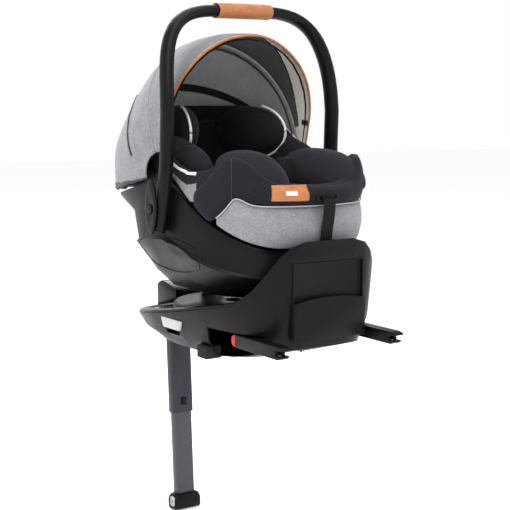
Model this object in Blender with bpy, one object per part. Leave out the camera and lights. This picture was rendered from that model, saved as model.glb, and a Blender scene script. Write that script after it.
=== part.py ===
"""Rear-facing infant car seat: a lift-off carrier on a rotating ISOFIX base with a load leg.

Metres, +Z up. X runs across the seat, +Y towards the child's head and the load leg, -Y towards
the vehicle's backrest. The origin is on the turntable's axis, on the base's flat underside.
"""
import math

import bpy
import bmesh
from mathutils import Matrix, Vector

# ---------------------------------------------------------------- driving dimensions
GAP = 0.0003                    # between pieces that touch
SKIN = 0.003                    # moulded wall
RING = 48                       # points around a plan outline

ANCHOR_SPACING = 0.280          # ISOFIX anchor bars, centre to centre
ANCHOR_HEIGHT = 0.053           # middle of the anchor bar above the underside

BASE_HALF_WIDTH = 0.175
BASE_NOSE = 0.310               # turntable axis to the nose tip
BASE_TAIL = 0.352               # turntable axis to the outside of the rebound wall
SEAM_HEIGHT = 0.078             # lip seam beside the turntable axis
SEAM_SLOPE = 0.190              # climb of the seam towards the rebound wall
NOSE_SLOPE = 0.160              # fall of the seam towards the nose
WALL_TOP = 0.260                # seam at the top of the rebound wall
WALL_START = 0.200              # distance behind the axis where the wall starts to rise
WALL_THICKNESS = 0.026
LIP_HEIGHT = 0.009              # lip bead above the seam
DISH_RADIUS = 0.144
DISH_FLOOR = 0.064

TURNTABLE_RADIUS = 0.136
TURNTABLE_TOP = 0.090
BEARING_INNER = 0.096
BEARING_OUTER = 0.112
BEARING_HEIGHT = 0.006
RUNNING_GAP = 0.0005

LEG_HINGE_Y = 0.255
LEG_HINGE_Z = 0.021
LEG_TILT = math.radians(3.4)    # foot towards the backrest
LEG_OUTER_SIZE = (0.056, 0.030)
LEG_OUTER_LENGTH = 0.239        # hinge to the lower end of the outer tube
LEG_WALL = 0.0035
LEG_INNER_TOP = 0.109           # hinge to the upper end of the inner tube
LEG_REACH = 0.439               # hinge to the top of the foot
LEG_SLIP = 0.0004
LEG_PIN_RADIUS = 0.004
FOOT_SIZE = (0.074, 0.041, 0.030)
SOLE_THICKNESS = 0.006
CHANNEL_HALF = 0.0425           # outside half-width of the leg storage channel
CHANNEL_TAIL = -0.283
CHANNEL_NOSE = 0.275
CHANNEL_TOP = 0.0445
CHANNEL_WALL = 0.002

WALL_CURVE = (5.0, 3.0)         # exponents of the plan outline behind the axis
TAIL_CLIMB = 0.034              # the underside's rise below the rebound wall
NOSE_CLIMB = 0.024              # the underside's rise below the nose
TRAY_HALF = 0.088               # storage recess in the rebound wall
TRAY_LOW = 0.060
TRAY_HIGH = 0.218
TRAY_DEPTH = 0.015
POCKET_HIGH = 0.146             # top edge of the storage pocket panel

ARM_WIDTH = 0.025
ARM_HEIGHT = 0.026
ARM_CLEARANCE = 0.004
ARM_FRONT = -0.400              # tip of the upper jaw
ARM_REAR = -0.236
ARM_BAY_END = -0.154
ARM_BAY_TOP = 0.070
JAW_OPENING = 0.011
JAW_DEPTH = 0.022
RELEASE_LENGTH = 0.0135

PAD_INNER = 0.128               # side support pads
PAD_START = -0.150
PAD_LENGTH = 0.038
PAD_HEIGHT = 0.027

BUTTON_Y = -0.015               # spin release buttons, on both sides of the base
BUTTON_LENGTH = 0.088
BUTTON_HEIGHT = 0.021
BUTTON_LOW = 0.045

BRACKET_HALF = 0.064            # docking bracket on the nose
BRACKET_START = 0.150
BRACKET_END = 0.236
BRACKET_TOP = 0.113
BAR_RADIUS = 0.005
BAR_Y = 0.085
BAR_HALF = 0.056
BAR_HEIGHT = 0.127

CARRIER_BOTTOM = 0.118
CARRIER_HALF_WIDTH = 0.205
CARRIER_FOOT = 0.310            # turntable axis to the shell's foot end
CARRIER_HEAD = 0.340            # turntable axis to the shell's head end
LEDGE_HEIGHT = 0.250            # step that the handle's hubs stand on
RIM_FOOT = 0.234
RIM_HUB = 0.368
RIM_HEAD = 0.312

SEAT_AXIS_Y = -0.080            # centre of the seat's reclining arc
SEAT_AXIS_Z = 0.480
SEAT_RADIUS = 0.330
SEAT_HALF_WIDTH = 0.185         # where the arc's radius runs out
SEAT_SLIDE_GAP = 0.0065
BUCKET_HALF_WIDTH = 0.180
BUCKET_FOOT = 0.235
BUCKET_HEAD = 0.315
BUCKET_WALL = 0.010

HANDLE_PIVOT_Y = -0.035
HANDLE_PIVOT_Z = 0.309
HANDLE_HALF_WIDTH = 0.211       # centre line of the arms
HANDLE_TOP = 0.721
HANDLE_STRAIGHT = 0.420         # height where the arch starts
HANDLE_BOTTOM = 0.262
HANDLE_BOW = 0.0535             # how far the arms lean towards the foot end
HANDLE_BOW_START = -0.022
HANDLE_ARCH = 4.2               # exponent of the arch
HANDLE_SECTION = (0.013, 0.020)
GRIP_HALF_LENGTH = 0.068
HUB_COVER = 0.005               # thickness of the hub covers
HUB_BUTTON_RADIUS = 0.0105
GRIP_THICKNESS = 0.0035
GRIP_FIT = 0.0010               # slack between the sleeve and the tube

CANOPY_PIVOT_Y = 0.000
CANOPY_PIVOT_Z = 0.378
CANOPY_HALF_WIDTH = 0.1835      # inside face of the front panel
CANOPY_SHOULDER = 0.106         # straight side above the pivot
CANOPY_ARCH = 0.190             # rise of the arch above the shoulder
CANOPY_CLOTH = 0.003
CANOPY_STEP = 0.0045            # each section lies this far outside the one before it
CANOPY_FRONT = -13.0            # angles from upright, in degrees, towards the head
CANOPY_MIDDLE = 20.0
CANOPY_REAR = 52.0
CANOPY_END = 116.0
CANOPY_BULGE = 0.066            # how far the rear panel stands out behind the head

CANOPY_END_REACH = 0.46         # past the canopy's rear end
SEAT_EDGE = 0.378               # top edge of the bucket beside the hips
SEAT_BACK_TOP = 0.500
SIDE_SHARE = 0.48               # the foot end's padding is thinner at its sides
FOOT_PAD = 0.017
COVER_SEAM = 0.327
PANEL_CORNER = 0.292
PANEL_FOOT = 0.243
HEADREST_RADIUS = 0.281
HEADREST_HALF = 0.122
HEADREST_WING = 0.125

PAD_GAP = 0.0005
CUSHION_THICKNESS = 0.018
INSERT_THICKNESS = 0.046
CROTCH_Y = -0.168               # foot of the crotch pad
CROTCH_LOW = 0.266
CROTCH_HIGH = 0.418
BUCKLE_BUTTON_RADIUS = 0.009
INSERT_FIT = 0.0075             # slack below the body insert
CUSHION_FIT = 0.0025            # slack below the cushion
BOWL_SHARES = (0.22, 0.44, 0.65, 0.86, 0.95, 1.0)
WEBBING_THICKNESS = 0.0016

PLASTIC_BLACK = ("plastic_black", (0.017, 0.017, 0.018), 0.42, 0.0)
PLASTIC_GLOSS = ("plastic_gloss", (0.012, 0.012, 0.013), 0.22, 0.0)
PLASTIC_GREY = ("plastic_grey", (0.42, 0.44, 0.42), 0.45, 0.0)
PLASTIC_RED = ("plastic_red", (0.45, 0.03, 0.03), 0.40, 0.0)
STEEL = ("steel", (0.55, 0.55, 0.56), 0.30, 1.0)
LEG_DARK = ("leg_dark", (0.035, 0.032, 0.038), 0.38, 0.6)
LEG_GREY = ("leg_grey", (0.055, 0.055, 0.060), 0.40, 0.6)
RUBBER = ("rubber", (0.020, 0.020, 0.020), 0.80, 0.0)
FABRIC_BLACK = ("fabric_black", (0.022, 0.020, 0.024), 0.92, 0.0)
FABRIC_GREY = ("fabric_grey", (0.30, 0.31, 0.31), 0.95, 0.0)
LEATHER = ("leather_tan", (0.42, 0.15, 0.05), 0.55, 0.0)
WEBBING = ("webbing_black", (0.015, 0.015, 0.016), 0.85, 0.0)

SIDES = (("left", -1), ("right", 1))


# ---------------------------------------------------------------- scene helpers
def clear_scene():
    for item in list(bpy.data.objects):
        bpy.data.objects.remove(item, do_unlink=True)


def material(spec):
    name, colour, roughness, metallic = spec
    found = bpy.data.materials.get(name)
    if found:
        return found
    made = bpy.data.materials.new(name)
    made.use_nodes = True
    shader = made.node_tree.nodes["Principled BSDF"]
    shader.inputs["Base Color"].default_value = (*colour, 1.0)
    shader.inputs["Roughness"].default_value = roughness
    shader.inputs["Metallic"].default_value = metallic
    return made


def joint_empty(name, pivot, parent=None):
    """An empty on a joint's axis; what moves there is parented to it."""
    empty = bpy.data.objects.new(name, None)
    bpy.context.scene.collection.objects.link(empty)
    empty.location = Vector(pivot)
    if parent:
        empty.parent = parent
        empty.location -= world_place(parent)
    return empty


def world_place(empty):
    place = Vector((0, 0, 0))
    while empty:
        place += empty.location
        empty = empty.parent
    return place


def add_object(name, bm, spec, holder=None, smooth=40):
    """Close a bmesh into a named object that hangs on its joint's empty."""
    bmesh.ops.recalc_face_normals(bm, faces=bm.faces)
    if holder:
        bmesh.ops.translate(bm, verts=bm.verts, vec=-world_place(holder))
    mesh = bpy.data.meshes.new(name)
    bm.to_mesh(mesh)
    bm.free()
    mesh.shade_smooth()
    mesh.set_sharp_from_angle(angle=math.radians(smooth))
    item = bpy.data.objects.new(name, mesh)
    bpy.context.scene.collection.objects.link(item)
    item.parent = holder
    if spec:
        mesh.materials.append(material(spec))
    return item


def cut(target, cutter):
    """Subtract a hidden guide solid from the target."""
    cutter.hide_render = True
    cutter.display_type = "WIRE"
    boolean = target.modifiers.new("cut_" + cutter.name, "BOOLEAN")
    boolean.operation = "DIFFERENCE"
    boolean.solver = "EXACT"
    boolean.object = cutter


# ---------------------------------------------------------------- mesh helpers
def loft_mesh(rings, closed=False):
    """Skin a list of rings with equal point counts; the ends get flat caps unless closed."""
    bm = bmesh.new()
    loops = [[bm.verts.new(point) for point in ring] for ring in rings]
    count = len(loops[0])
    pairs = list(zip(loops, loops[1:]))
    if closed:
        pairs.append((loops[-1], loops[0]))
    for first, second in pairs:
        for k in range(count):
            n = (k + 1) % count
            bm.faces.new((first[k], first[n], second[n], second[k]))
    if not closed:
        bm.faces.new(list(reversed(loops[0])))
        bm.faces.new(loops[-1])
    return bm


def sheet_mesh(outer, inner):
    """A closed sheet between two grids of points of the same size."""
    bm = bmesh.new()
    skins = [[[bm.verts.new(p) for p in row] for row in grid] for grid in (outer, inner)]
    rows = len(outer)
    columns = len(outer[0])
    for skin in skins:
        for i in range(rows - 1):
            for j in range(columns - 1):
                bm.faces.new((skin[i][j], skin[i + 1][j], skin[i + 1][j + 1], skin[i][j + 1]))
    border = [(i, 0) for i in range(rows)]
    border += [(rows - 1, j) for j in range(1, columns)]
    border += [(i, columns - 1) for i in range(rows - 2, -1, -1)]
    border += [(0, j) for j in range(columns - 2, 0, -1)]
    top, bottom = skins
    for k, (i, j) in enumerate(border):
        a, b = border[(k + 1) % len(border)]
        bm.faces.new((top[i][j], top[a][b], bottom[a][b], bottom[i][j]))
    return bm


def box_mesh(low, high, bevel=0.0, segments=2):
    bm = bmesh.new()
    bmesh.ops.create_cube(bm, size=1.0)
    first = Vector(low)
    second = Vector(high)
    low = Vector([min(a, b) for a, b in zip(first, second)])
    high = Vector([max(a, b) for a, b in zip(first, second)])
    size = high - low
    bmesh.ops.scale(bm, vec=size, verts=bm.verts)
    bmesh.ops.translate(bm, vec=(low + high) / 2, verts=bm.verts)
    if bevel:
        bmesh.ops.bevel(bm, geom=list(bm.edges), offset=bevel, segments=segments,
                        affect="EDGES", profile=0.5, clamp_overlap=True)
    return bm


def rod_mesh(start, end, radius, segments=20):
    """A round rod from start to end."""
    start = Vector(start)
    end = Vector(end)
    bm = bmesh.new()
    bmesh.ops.create_cone(bm, cap_ends=True, segments=segments, radius1=radius, radius2=radius,
                          depth=(end - start).length)
    turn = Vector((0, 0, 1)).rotation_difference(end - start).to_matrix().to_4x4()
    bmesh.ops.transform(bm, matrix=Matrix.Translation((start + end) / 2) @ turn, verts=bm.verts)
    return bm


def turned_mesh(profile, segments=RING):
    """Turn a closed (radius, height) outline about the Z axis."""
    rings = []
    for k in range(segments):
        angle = 2 * math.pi * k / segments
        rings.append([(r * math.cos(angle), r * math.sin(angle), z) for r, z in profile])
    return loft_mesh(rings, closed=True)


def ribbon_outline(path, thickness):
    """Closed outline of a band of the given thickness along a path of (y, z) points."""
    left = []
    right = []
    for k, (y, z) in enumerate(path):
        before = Vector(path[max(0, k - 1)])
        after = Vector(path[min(len(path) - 1, k + 1)])
        along = (after - before).normalized()
        left.append((y - along.y * thickness / 2, z + along.x * thickness / 2))
        right.append((y + along.y * thickness / 2, z - along.x * thickness / 2))
    return left + list(reversed(right))


def prism_mesh(outline, x0, x1):
    """Extrude a (y, z) outline along X."""
    return loft_mesh([[(x, y, z) for y, z in outline] for x in (x0, x1)])


def power(value, exponent):
    return math.copysign(abs(value) ** exponent, value)


def plan_outline(half_width, plus, minus, centre=0.0, plus_exp=(2.0, 2.0), minus_exp=(2.0, 2.0)):
    """Superellipse in plan: half_width along X, plus and minus are its reaches along Y."""
    points = []
    for k in range(RING):
        angle = 2 * math.pi * (k + 0.5) / RING
        c = math.cos(angle)
        s = math.sin(angle)
        reach = plus if s > 0 else minus
        exps = plus_exp if s > 0 else minus_exp
        points.append((half_width * power(c, 2 / exps[0]), centre + reach * power(s, 2 / exps[1])))
    return points




# ---------------------------------------------------------------- base
def seam_line(y):
    return SEAM_HEIGHT - (SEAM_SLOPE if y < 0 else NOSE_SLOPE) * y


def seam_height(y):
    """Height of the seam between the base's two shells; the rebound wall lifts it."""
    rise = max(0.0, (-WALL_START - y) / (BASE_TAIL - WALL_START))
    return seam_line(y) + (WALL_TOP - seam_line(-BASE_TAIL)) * min(1.0, rise) ** 3


def keel_ring(half_width, nose, tail, height):
    outline = plan_outline(half_width, nose, tail, minus_exp=WALL_CURVE)
    return [(x, y, height(y)) for x, y in outline]


def base_ring(inset, height):
    return keel_ring(BASE_HALF_WIDTH - inset, BASE_NOSE - inset, BASE_TAIL - inset, height)


def circle_ring(radius, height):
    return [(x, y, height) for x, y in plan_outline(radius, radius, radius)]


def bilge_height(y):
    """The underside climbs towards the rebound wall and towards the nose."""
    tail = TAIL_CLIMB * min(1.0, max(0.0, (-y - 0.57 * BASE_TAIL) / (0.34 * BASE_TAIL)))
    return 2 * SKIN + tail + NOSE_CLIMB * max(0.0, y / BASE_NOSE) ** 2


def flank_height(y):
    return bilge_height(y) + 0.35 * (seam_height(y) - bilge_height(y))


def button_outline(margin=0.0):
    """Trapezoid button face, wider at its top, as (y, z)."""
    half_top = BUTTON_LENGTH / 2 + margin
    half_bottom = 0.78 * BUTTON_LENGTH / 2 + margin
    low = BUTTON_LOW - margin
    high = BUTTON_LOW + BUTTON_HEIGHT + margin
    return [(BUTTON_Y - half_bottom, low), (BUTTON_Y - half_top, high),
            (BUTTON_Y + half_top, high), (BUTTON_Y + half_bottom, low)]


def build_lower_shell():
    keel = (BASE_HALF_WIDTH - 0.063, 0.2 * BASE_NOSE, BASE_TAIL - 0.162)
    bilge = (BASE_HALF_WIDTH - 0.029, BASE_NOSE - 0.072, BASE_TAIL - 0.022)
    flank = (BASE_HALF_WIDTH - 0.009, BASE_NOSE - 0.022, BASE_TAIL - 0.006)

    def inside(sizes):
        return [size - SKIN for size in sizes]

    rings = [
        keel_ring(*keel, lambda y: 0.0),
        keel_ring(*bilge, bilge_height),
        keel_ring(*flank, flank_height),
        base_ring(0.0, seam_height),
        base_ring(SKIN, seam_height),
        keel_ring(*inside(flank), flank_height),
        keel_ring(*inside(bilge), lambda y: bilge_height(y) + SKIN),
        keel_ring(*keel, lambda y: SKIN),
    ]
    shell = add_object("base_lower_shell", loft_mesh(rings), PLASTIC_BLACK)
    for side, sign in SIDES:
        beyond = sign * (BASE_HALF_WIDTH + 0.02)
        bay = box_mesh((sign * arm_bay_inner(), -BASE_TAIL - 0.02, -0.01), (beyond, ARM_BAY_END,
                ARM_BAY_TOP))
        cut(shell, add_object("arm_bay_" + side, bay, None))
        pocket = box_mesh((sign * (PAD_INNER - GAP), PAD_START - GAP, -0.01),
                          (beyond, PAD_START + PAD_LENGTH + GAP, PAD_HEIGHT + GAP))
        cut(shell, add_object("pad_pocket_" + side, pocket, None))
        window = prism_mesh(button_outline(RUNNING_GAP), sign * (BASE_HALF_WIDTH - 0.04), beyond)
        cut(shell, add_object("button_window_" + side, window, None))
        reach = 0.3 * BUTTON_LENGTH
        finger = box_mesh((sign * (BASE_HALF_WIDTH - 0.03), BUTTON_Y - reach, BUTTON_LOW - 0.012),
                          (beyond, BUTTON_Y + reach, BUTTON_LOW - 0.002))
        cut(shell, add_object("finger_recess_" + side, finger, None))
    half = CHANNEL_HALF + GAP
    channel = box_mesh((-half, CHANNEL_TAIL - GAP, -0.02), (half, CHANNEL_NOSE + GAP, CHANNEL_TOP + 0.01))
    cut(shell, add_object("channel_mouth", channel, None))
    recess = box_mesh((-TRAY_HALF, -BASE_TAIL - 0.01, TRAY_LOW), (TRAY_HALF, -BASE_TAIL + TRAY_DEPTH,
            TRAY_HIGH))
    cut(shell, add_object("recess_mouth", recess, None))


def build_upper_shell():
    def lip(extra):
        return lambda y: seam_height(y) + extra

    def trough(y):
        return min(DISH_FLOOR + 0.008, seam_line(y) + 0.004)

    under = LIP_HEIGHT - SKIN
    top = [
        circle_ring(DISH_RADIUS - 0.005, DISH_FLOOR),
        circle_ring(DISH_RADIUS, DISH_FLOOR + 2 * SKIN),
        base_ring(WALL_THICKNESS + SKIN, trough),
        base_ring(WALL_THICKNESS, lip(0.0)),
        base_ring(0.019, lip(0.7 * LIP_HEIGHT)),
        base_ring(0.010, lip(LIP_HEIGHT)),
        base_ring(0.002, lip(0.6 * LIP_HEIGHT)),
        base_ring(0.0, lip(GAP)),
    ]
    underside = [
        base_ring(SKIN + GAP, lip(GAP)),
        base_ring(0.0055, lip(0.4 * LIP_HEIGHT)),
        base_ring(0.010, lip(under)),
        base_ring(0.017, lip(under - 0.3 * LIP_HEIGHT)),
        base_ring(WALL_THICKNESS - SKIN, lip(-SKIN)),
        base_ring(WALL_THICKNESS, lambda y: trough(y) - SKIN),
        circle_ring(DISH_RADIUS + 0.001, DISH_FLOOR + SKIN),
        circle_ring(DISH_RADIUS - 0.005, DISH_FLOOR - SKIN),
    ]
    add_object("base_upper_shell", loft_mesh(top + underside), PLASTIC_GLOSS)


def build_storage():
    """Tray let into the rebound wall and the pocket panel in front of its lower half."""
    front = -BASE_TAIL + SKIN + 2 * GAP
    back = -BASE_TAIL + TRAY_DEPTH
    half = TRAY_HALF - GAP
    low = TRAY_LOW + GAP
    high = TRAY_HIGH - GAP
    tray = add_object("storage_tray", box_mesh((-half, front, low), (half, back, high)), PLASTIC_BLACK)
    hollow = box_mesh((-half + SKIN, front - 0.01, low + SKIN), (half - SKIN, back - 0.002, high - SKIN))
    cut(tray, add_object("tray_hollow", hollow, None))
    count = 12
    rim = [(half * (2 * k / count - 1),
            POCKET_HIGH - 0.009 * (2 * k / count - 1) ** 2) for k in range(count + 1)]
    outline = [(x, z) for x, z in [(half, low), (-half, low)] + rim]
    rings = []
    for y in (-BASE_TAIL - 0.0005, front - GAP):
        rings.append([(x, y, z) for x, z in outline])
    add_object("storage_pocket_panel", loft_mesh(rings), PLASTIC_BLACK)


def build_side_pads():
    for side, sign in SIDES:
        low = (sign * PAD_INNER, PAD_START, GAP)
        high = (sign * (BASE_HALF_WIDTH - 0.008), PAD_START + PAD_LENGTH, PAD_HEIGHT)
        add_object("side_pad_" + side, box_mesh(low, high, 0.0025), RUBBER)


def build_spin_buttons():
    for side, sign in SIDES:
        holder = joint_empty("spin_button_axis_" + side, (sign * BASE_HALF_WIDTH, BUTTON_Y, BUTTON_LOW))
        face = prism_mesh(button_outline(), sign * (BASE_HALF_WIDTH - 0.018),
                          sign * (BASE_HALF_WIDTH - 0.002))
        add_object("spin_button_" + side, face, PLASTIC_GREY, holder)


def build_leg_channel():
    low = (-CHANNEL_HALF, CHANNEL_TAIL, 2 * GAP)
    high = (CHANNEL_HALF, CHANNEL_NOSE, CHANNEL_TOP)
    channel = add_object("leg_channel", box_mesh(low, high), PLASTIC_BLACK)
    inner = CHANNEL_HALF - CHANNEL_WALL
    hollow = box_mesh((-inner, CHANNEL_TAIL - 0.01, -0.01), (inner, CHANNEL_NOSE + 0.01,
            CHANNEL_TOP - CHANNEL_WALL))
    cut(channel, add_object("channel_hollow", hollow, None))
    cheek_top = LEG_HINGE_Z + 0.010
    lid = box_mesh((-CHANNEL_HALF - 0.01, LEG_HINGE_Y - 0.085, cheek_top),
                   (CHANNEL_HALF + 0.01, CHANNEL_NOSE + 0.02, CHANNEL_TOP + 0.01))
    cut(channel, add_object("cheek_relief", lid, None))
    relief_start = -0.57 * BASE_TAIL
    relief_top = bilge_height(CHANNEL_TAIL)
    tail = box_mesh((-CHANNEL_HALF - 0.01, CHANNEL_TAIL - 0.01, -0.01),
                    (CHANNEL_HALF + 0.01, relief_start, relief_top))
    cut(channel, add_object("tail_relief", tail, None))
    bore = rod_mesh((-CHANNEL_HALF - 0.01, LEG_HINGE_Y, LEG_HINGE_Z), (CHANNEL_HALF + 0.01, LEG_HINGE_Y,
            LEG_HINGE_Z),
                    LEG_PIN_RADIUS + GAP)
    cut(channel, add_object("pin_bore", bore, None))
    end = CHANNEL_HALF - GAP
    pin = rod_mesh((-end, LEG_HINGE_Y, LEG_HINGE_Z), (end, LEG_HINGE_Y, LEG_HINGE_Z), LEG_PIN_RADIUS)
    add_object("leg_hinge_pin", pin, STEEL)


def build_bearing():
    floor = DISH_FLOOR + GAP
    ring = [(BEARING_INNER, floor), (BEARING_OUTER, floor),
            (BEARING_OUTER, floor + BEARING_HEIGHT), (BEARING_INNER, floor + BEARING_HEIGHT)]
    add_object("bearing_ring", turned_mesh(ring, 36), STEEL)


def build_bracket():
    """Raised bracket on the nose with the lever that lets the carrier go."""
    nose = BASE_NOSE - WALL_THICKNESS - SKIN
    fall = (DISH_FLOOR + 2 * SKIN - seam_line(nose) - 0.004) / (nose - DISH_RADIUS)

    def deck(y):
        return DISH_FLOOR + 2 * SKIN - fall * (y - DISH_RADIUS) + 0.002

    steps = 8
    top = []
    bottom = []
    for k in range(steps + 1):
        t = k / steps
        y = BRACKET_START + (BRACKET_END - BRACKET_START) * t
        top.append((y, BRACKET_TOP - 0.016 * (1 - t) ** 2 - 0.012 * max(0.0, t - 0.8) / 0.2))
        bottom.append((y, deck(y)))
    bracket = add_object("docking_bracket", prism_mesh(list(reversed(bottom)) + top, -BRACKET_HALF,
                                                       BRACKET_HALF),
                         PLASTIC_GLOSS)
    slot = box_mesh((-0.026, BRACKET_END - 0.030, BRACKET_TOP - 0.022), (0.026, BRACKET_END + 0.01,
            BRACKET_TOP + 0.01))
    cut(bracket, add_object("lever_slot", slot, None))
    holder = joint_empty("release_lever_axis", (0, BRACKET_END - 0.022, BRACKET_TOP - 0.012))
    lever = box_mesh((-0.024, BRACKET_END - 0.027, BRACKET_TOP - 0.016),
                     (0.024, BRACKET_END + 0.006, BRACKET_TOP - 0.010), 0.002)
    add_object("release_lever", lever, STEEL, holder)


def build_turntable():
    holder = joint_empty("turntable_axis", (0, 0, TURNTABLE_TOP))
    under = DISH_FLOOR + 2 * GAP
    groove = under + BEARING_HEIGHT + GAP
    margin = 0.0015
    bore = 0.020
    profile = [(bore, TURNTABLE_TOP), (bore, under + 0.001),
               (BEARING_INNER - margin, under + 0.001), (BEARING_INNER - margin, groove),
               (BEARING_OUTER + margin, groove), (BEARING_OUTER + margin, under + 0.001),
               (TURNTABLE_RADIUS - 0.002, under + 0.001), (TURNTABLE_RADIUS, under + 0.004),
               (TURNTABLE_RADIUS, TURNTABLE_TOP - 0.005), (TURNTABLE_RADIUS - 0.005, TURNTABLE_TOP)]
    add_object("turntable_disc", turned_mesh(profile), PLASTIC_BLACK, holder)
    for name, sign, spec in (("docking_claw_fixed", -1, STEEL), ("docking_claw_latch", 1, STEEL)):
        inner = sign * (BAR_Y + BAR_RADIUS + 0.001)
        outer = sign * (BAR_Y + BAR_RADIUS + 0.009)
        claw_holder = holder
        if sign > 0:
            claw_holder = joint_empty("docking_latch_axis", (0, sign * (BAR_Y + 0.010),
                    TURNTABLE_TOP + 0.006), holder)
        claw = box_mesh((-0.030, inner, TURNTABLE_TOP + GAP), (0.030, outer, BAR_HEIGHT + 0.001), 0.0015, 1)
        add_object(name, claw, spec, claw_holder)
    return holder


def arm_bay_inner():
    return ANCHOR_SPACING / 2 - ARM_WIDTH / 2 - ARM_CLEARANCE


def build_isofix():
    frame = joint_empty("isofix_axis", (0, ARM_REAR, ANCHOR_HEIGHT))
    low = ANCHOR_HEIGHT - ARM_HEIGHT / 2
    high = ANCHOR_HEIGHT + ARM_HEIGHT / 2
    gap_low = ANCHOR_HEIGHT - JAW_OPENING / 2
    gap_high = ANCHOR_HEIGHT + JAW_OPENING / 2
    throat = ARM_FRONT + JAW_DEPTH
    outline = [(ARM_REAR, low), (ARM_REAR, high), (ARM_FRONT + 0.015, high), (ARM_FRONT + 0.004,
            high - 0.002),
               (ARM_FRONT, gap_high + 0.002), (ARM_FRONT + 0.001, gap_high), (throat, gap_high), (throat,
                       gap_low),
               (ARM_FRONT + 0.008, gap_low), (ARM_FRONT + 0.007, gap_low - 0.003), (ARM_FRONT + 0.015, low)]
    tube_height = high - 0.0065
    tube_y = ARM_REAR - 0.014
    for side, sign in SIDES:
        centre = sign * ANCHOR_SPACING / 2
        arm = add_object("isofix_arm_" + side, prism_mesh(outline, centre - ARM_WIDTH / 2,
                                                          centre + ARM_WIDTH / 2),
                         PLASTIC_BLACK, frame)
        bay = box_mesh((centre - 0.0045, throat - 0.003, low + 0.0015), (centre + 0.0045, throat + 0.038,
                gap_high + 0.0035))
        cut(arm, add_object("hook_bay_" + side, bay, None, frame))
        pivot_y = throat + 0.023
        pivot_z = gap_low
        hook_holder = joint_empty("hook_axis_" + side, (centre, pivot_y, pivot_z), frame)
        claw = [(throat - 0.0005, pivot_z - 0.0045), (pivot_y + 0.004, pivot_z - 0.0045),
                (pivot_y + 0.004, pivot_z + 0.009),
                (pivot_y - 0.001, pivot_z + 0.009), (pivot_y - 0.004, pivot_z), (throat - 0.0005, pivot_z)]
        add_object("isofix_hook_" + side, prism_mesh(claw, centre - 0.0038, centre + 0.0038), STEEL,
                   hook_holder)
        start = ARM_REAR + GAP
        slider_holder = joint_empty("release_axis_" + side, (centre, start, ANCHOR_HEIGHT), frame)
        slider = rounded_end(centre, start, RELEASE_LENGTH, low + 0.001, high - 0.001)
        add_object("isofix_release_" + side, slider, PLASTIC_RED, slider_holder)
    end = ANCHOR_SPACING / 2 - ARM_WIDTH / 2 - GAP
    tube = rod_mesh((-end, tube_y, tube_height), (end, tube_y, tube_height), 0.006, 16)
    add_object("isofix_cross_tube", tube, STEEL, frame)


def rounded_end(centre, start, length, low, high):
    """Block whose far end is rounded in side view."""
    radius = (high - low) / 2
    middle = (low + high) / 2
    outline = [(start, high), (start, low)]
    steps = 8
    for k in range(steps + 1):
        angle = -math.pi / 2 + math.pi * k / steps
        outline.append((start + length - radius * 0.9 + 0.9 * radius * math.cos(angle),
                        middle + radius * math.sin(angle)))
    return prism_mesh(list(reversed(outline)), centre - ARM_WIDTH / 2 + 0.001,
                      centre + ARM_WIDTH / 2 - 0.001)


# ---------------------------------------------------------------- load leg
def tilted(bm):
    """Turn a piece of the upright leg about the hinge to its parked angle."""
    turn = Matrix.Rotation(-LEG_TILT, 4, "X")
    bmesh.ops.transform(bm, matrix=Matrix.Translation((0, LEG_HINGE_Y, LEG_HINGE_Z)) @ turn, verts=bm.verts)
    return bm


def rounded_rectangle(width, depth, radius, height, steps=3):
    points = []
    for cx, cy, start in ((1, 1, 0), (-1, 1, 90), (-1, -1, 180), (1, -1, 270)):
        for k in range(steps + 1):
            angle = math.radians(start + 90 * k / steps)
            points.append((cx * (width / 2 - radius) + radius * math.cos(angle),
                           cy * (depth / 2 - radius) + radius * math.sin(angle), height))
    return points


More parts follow.
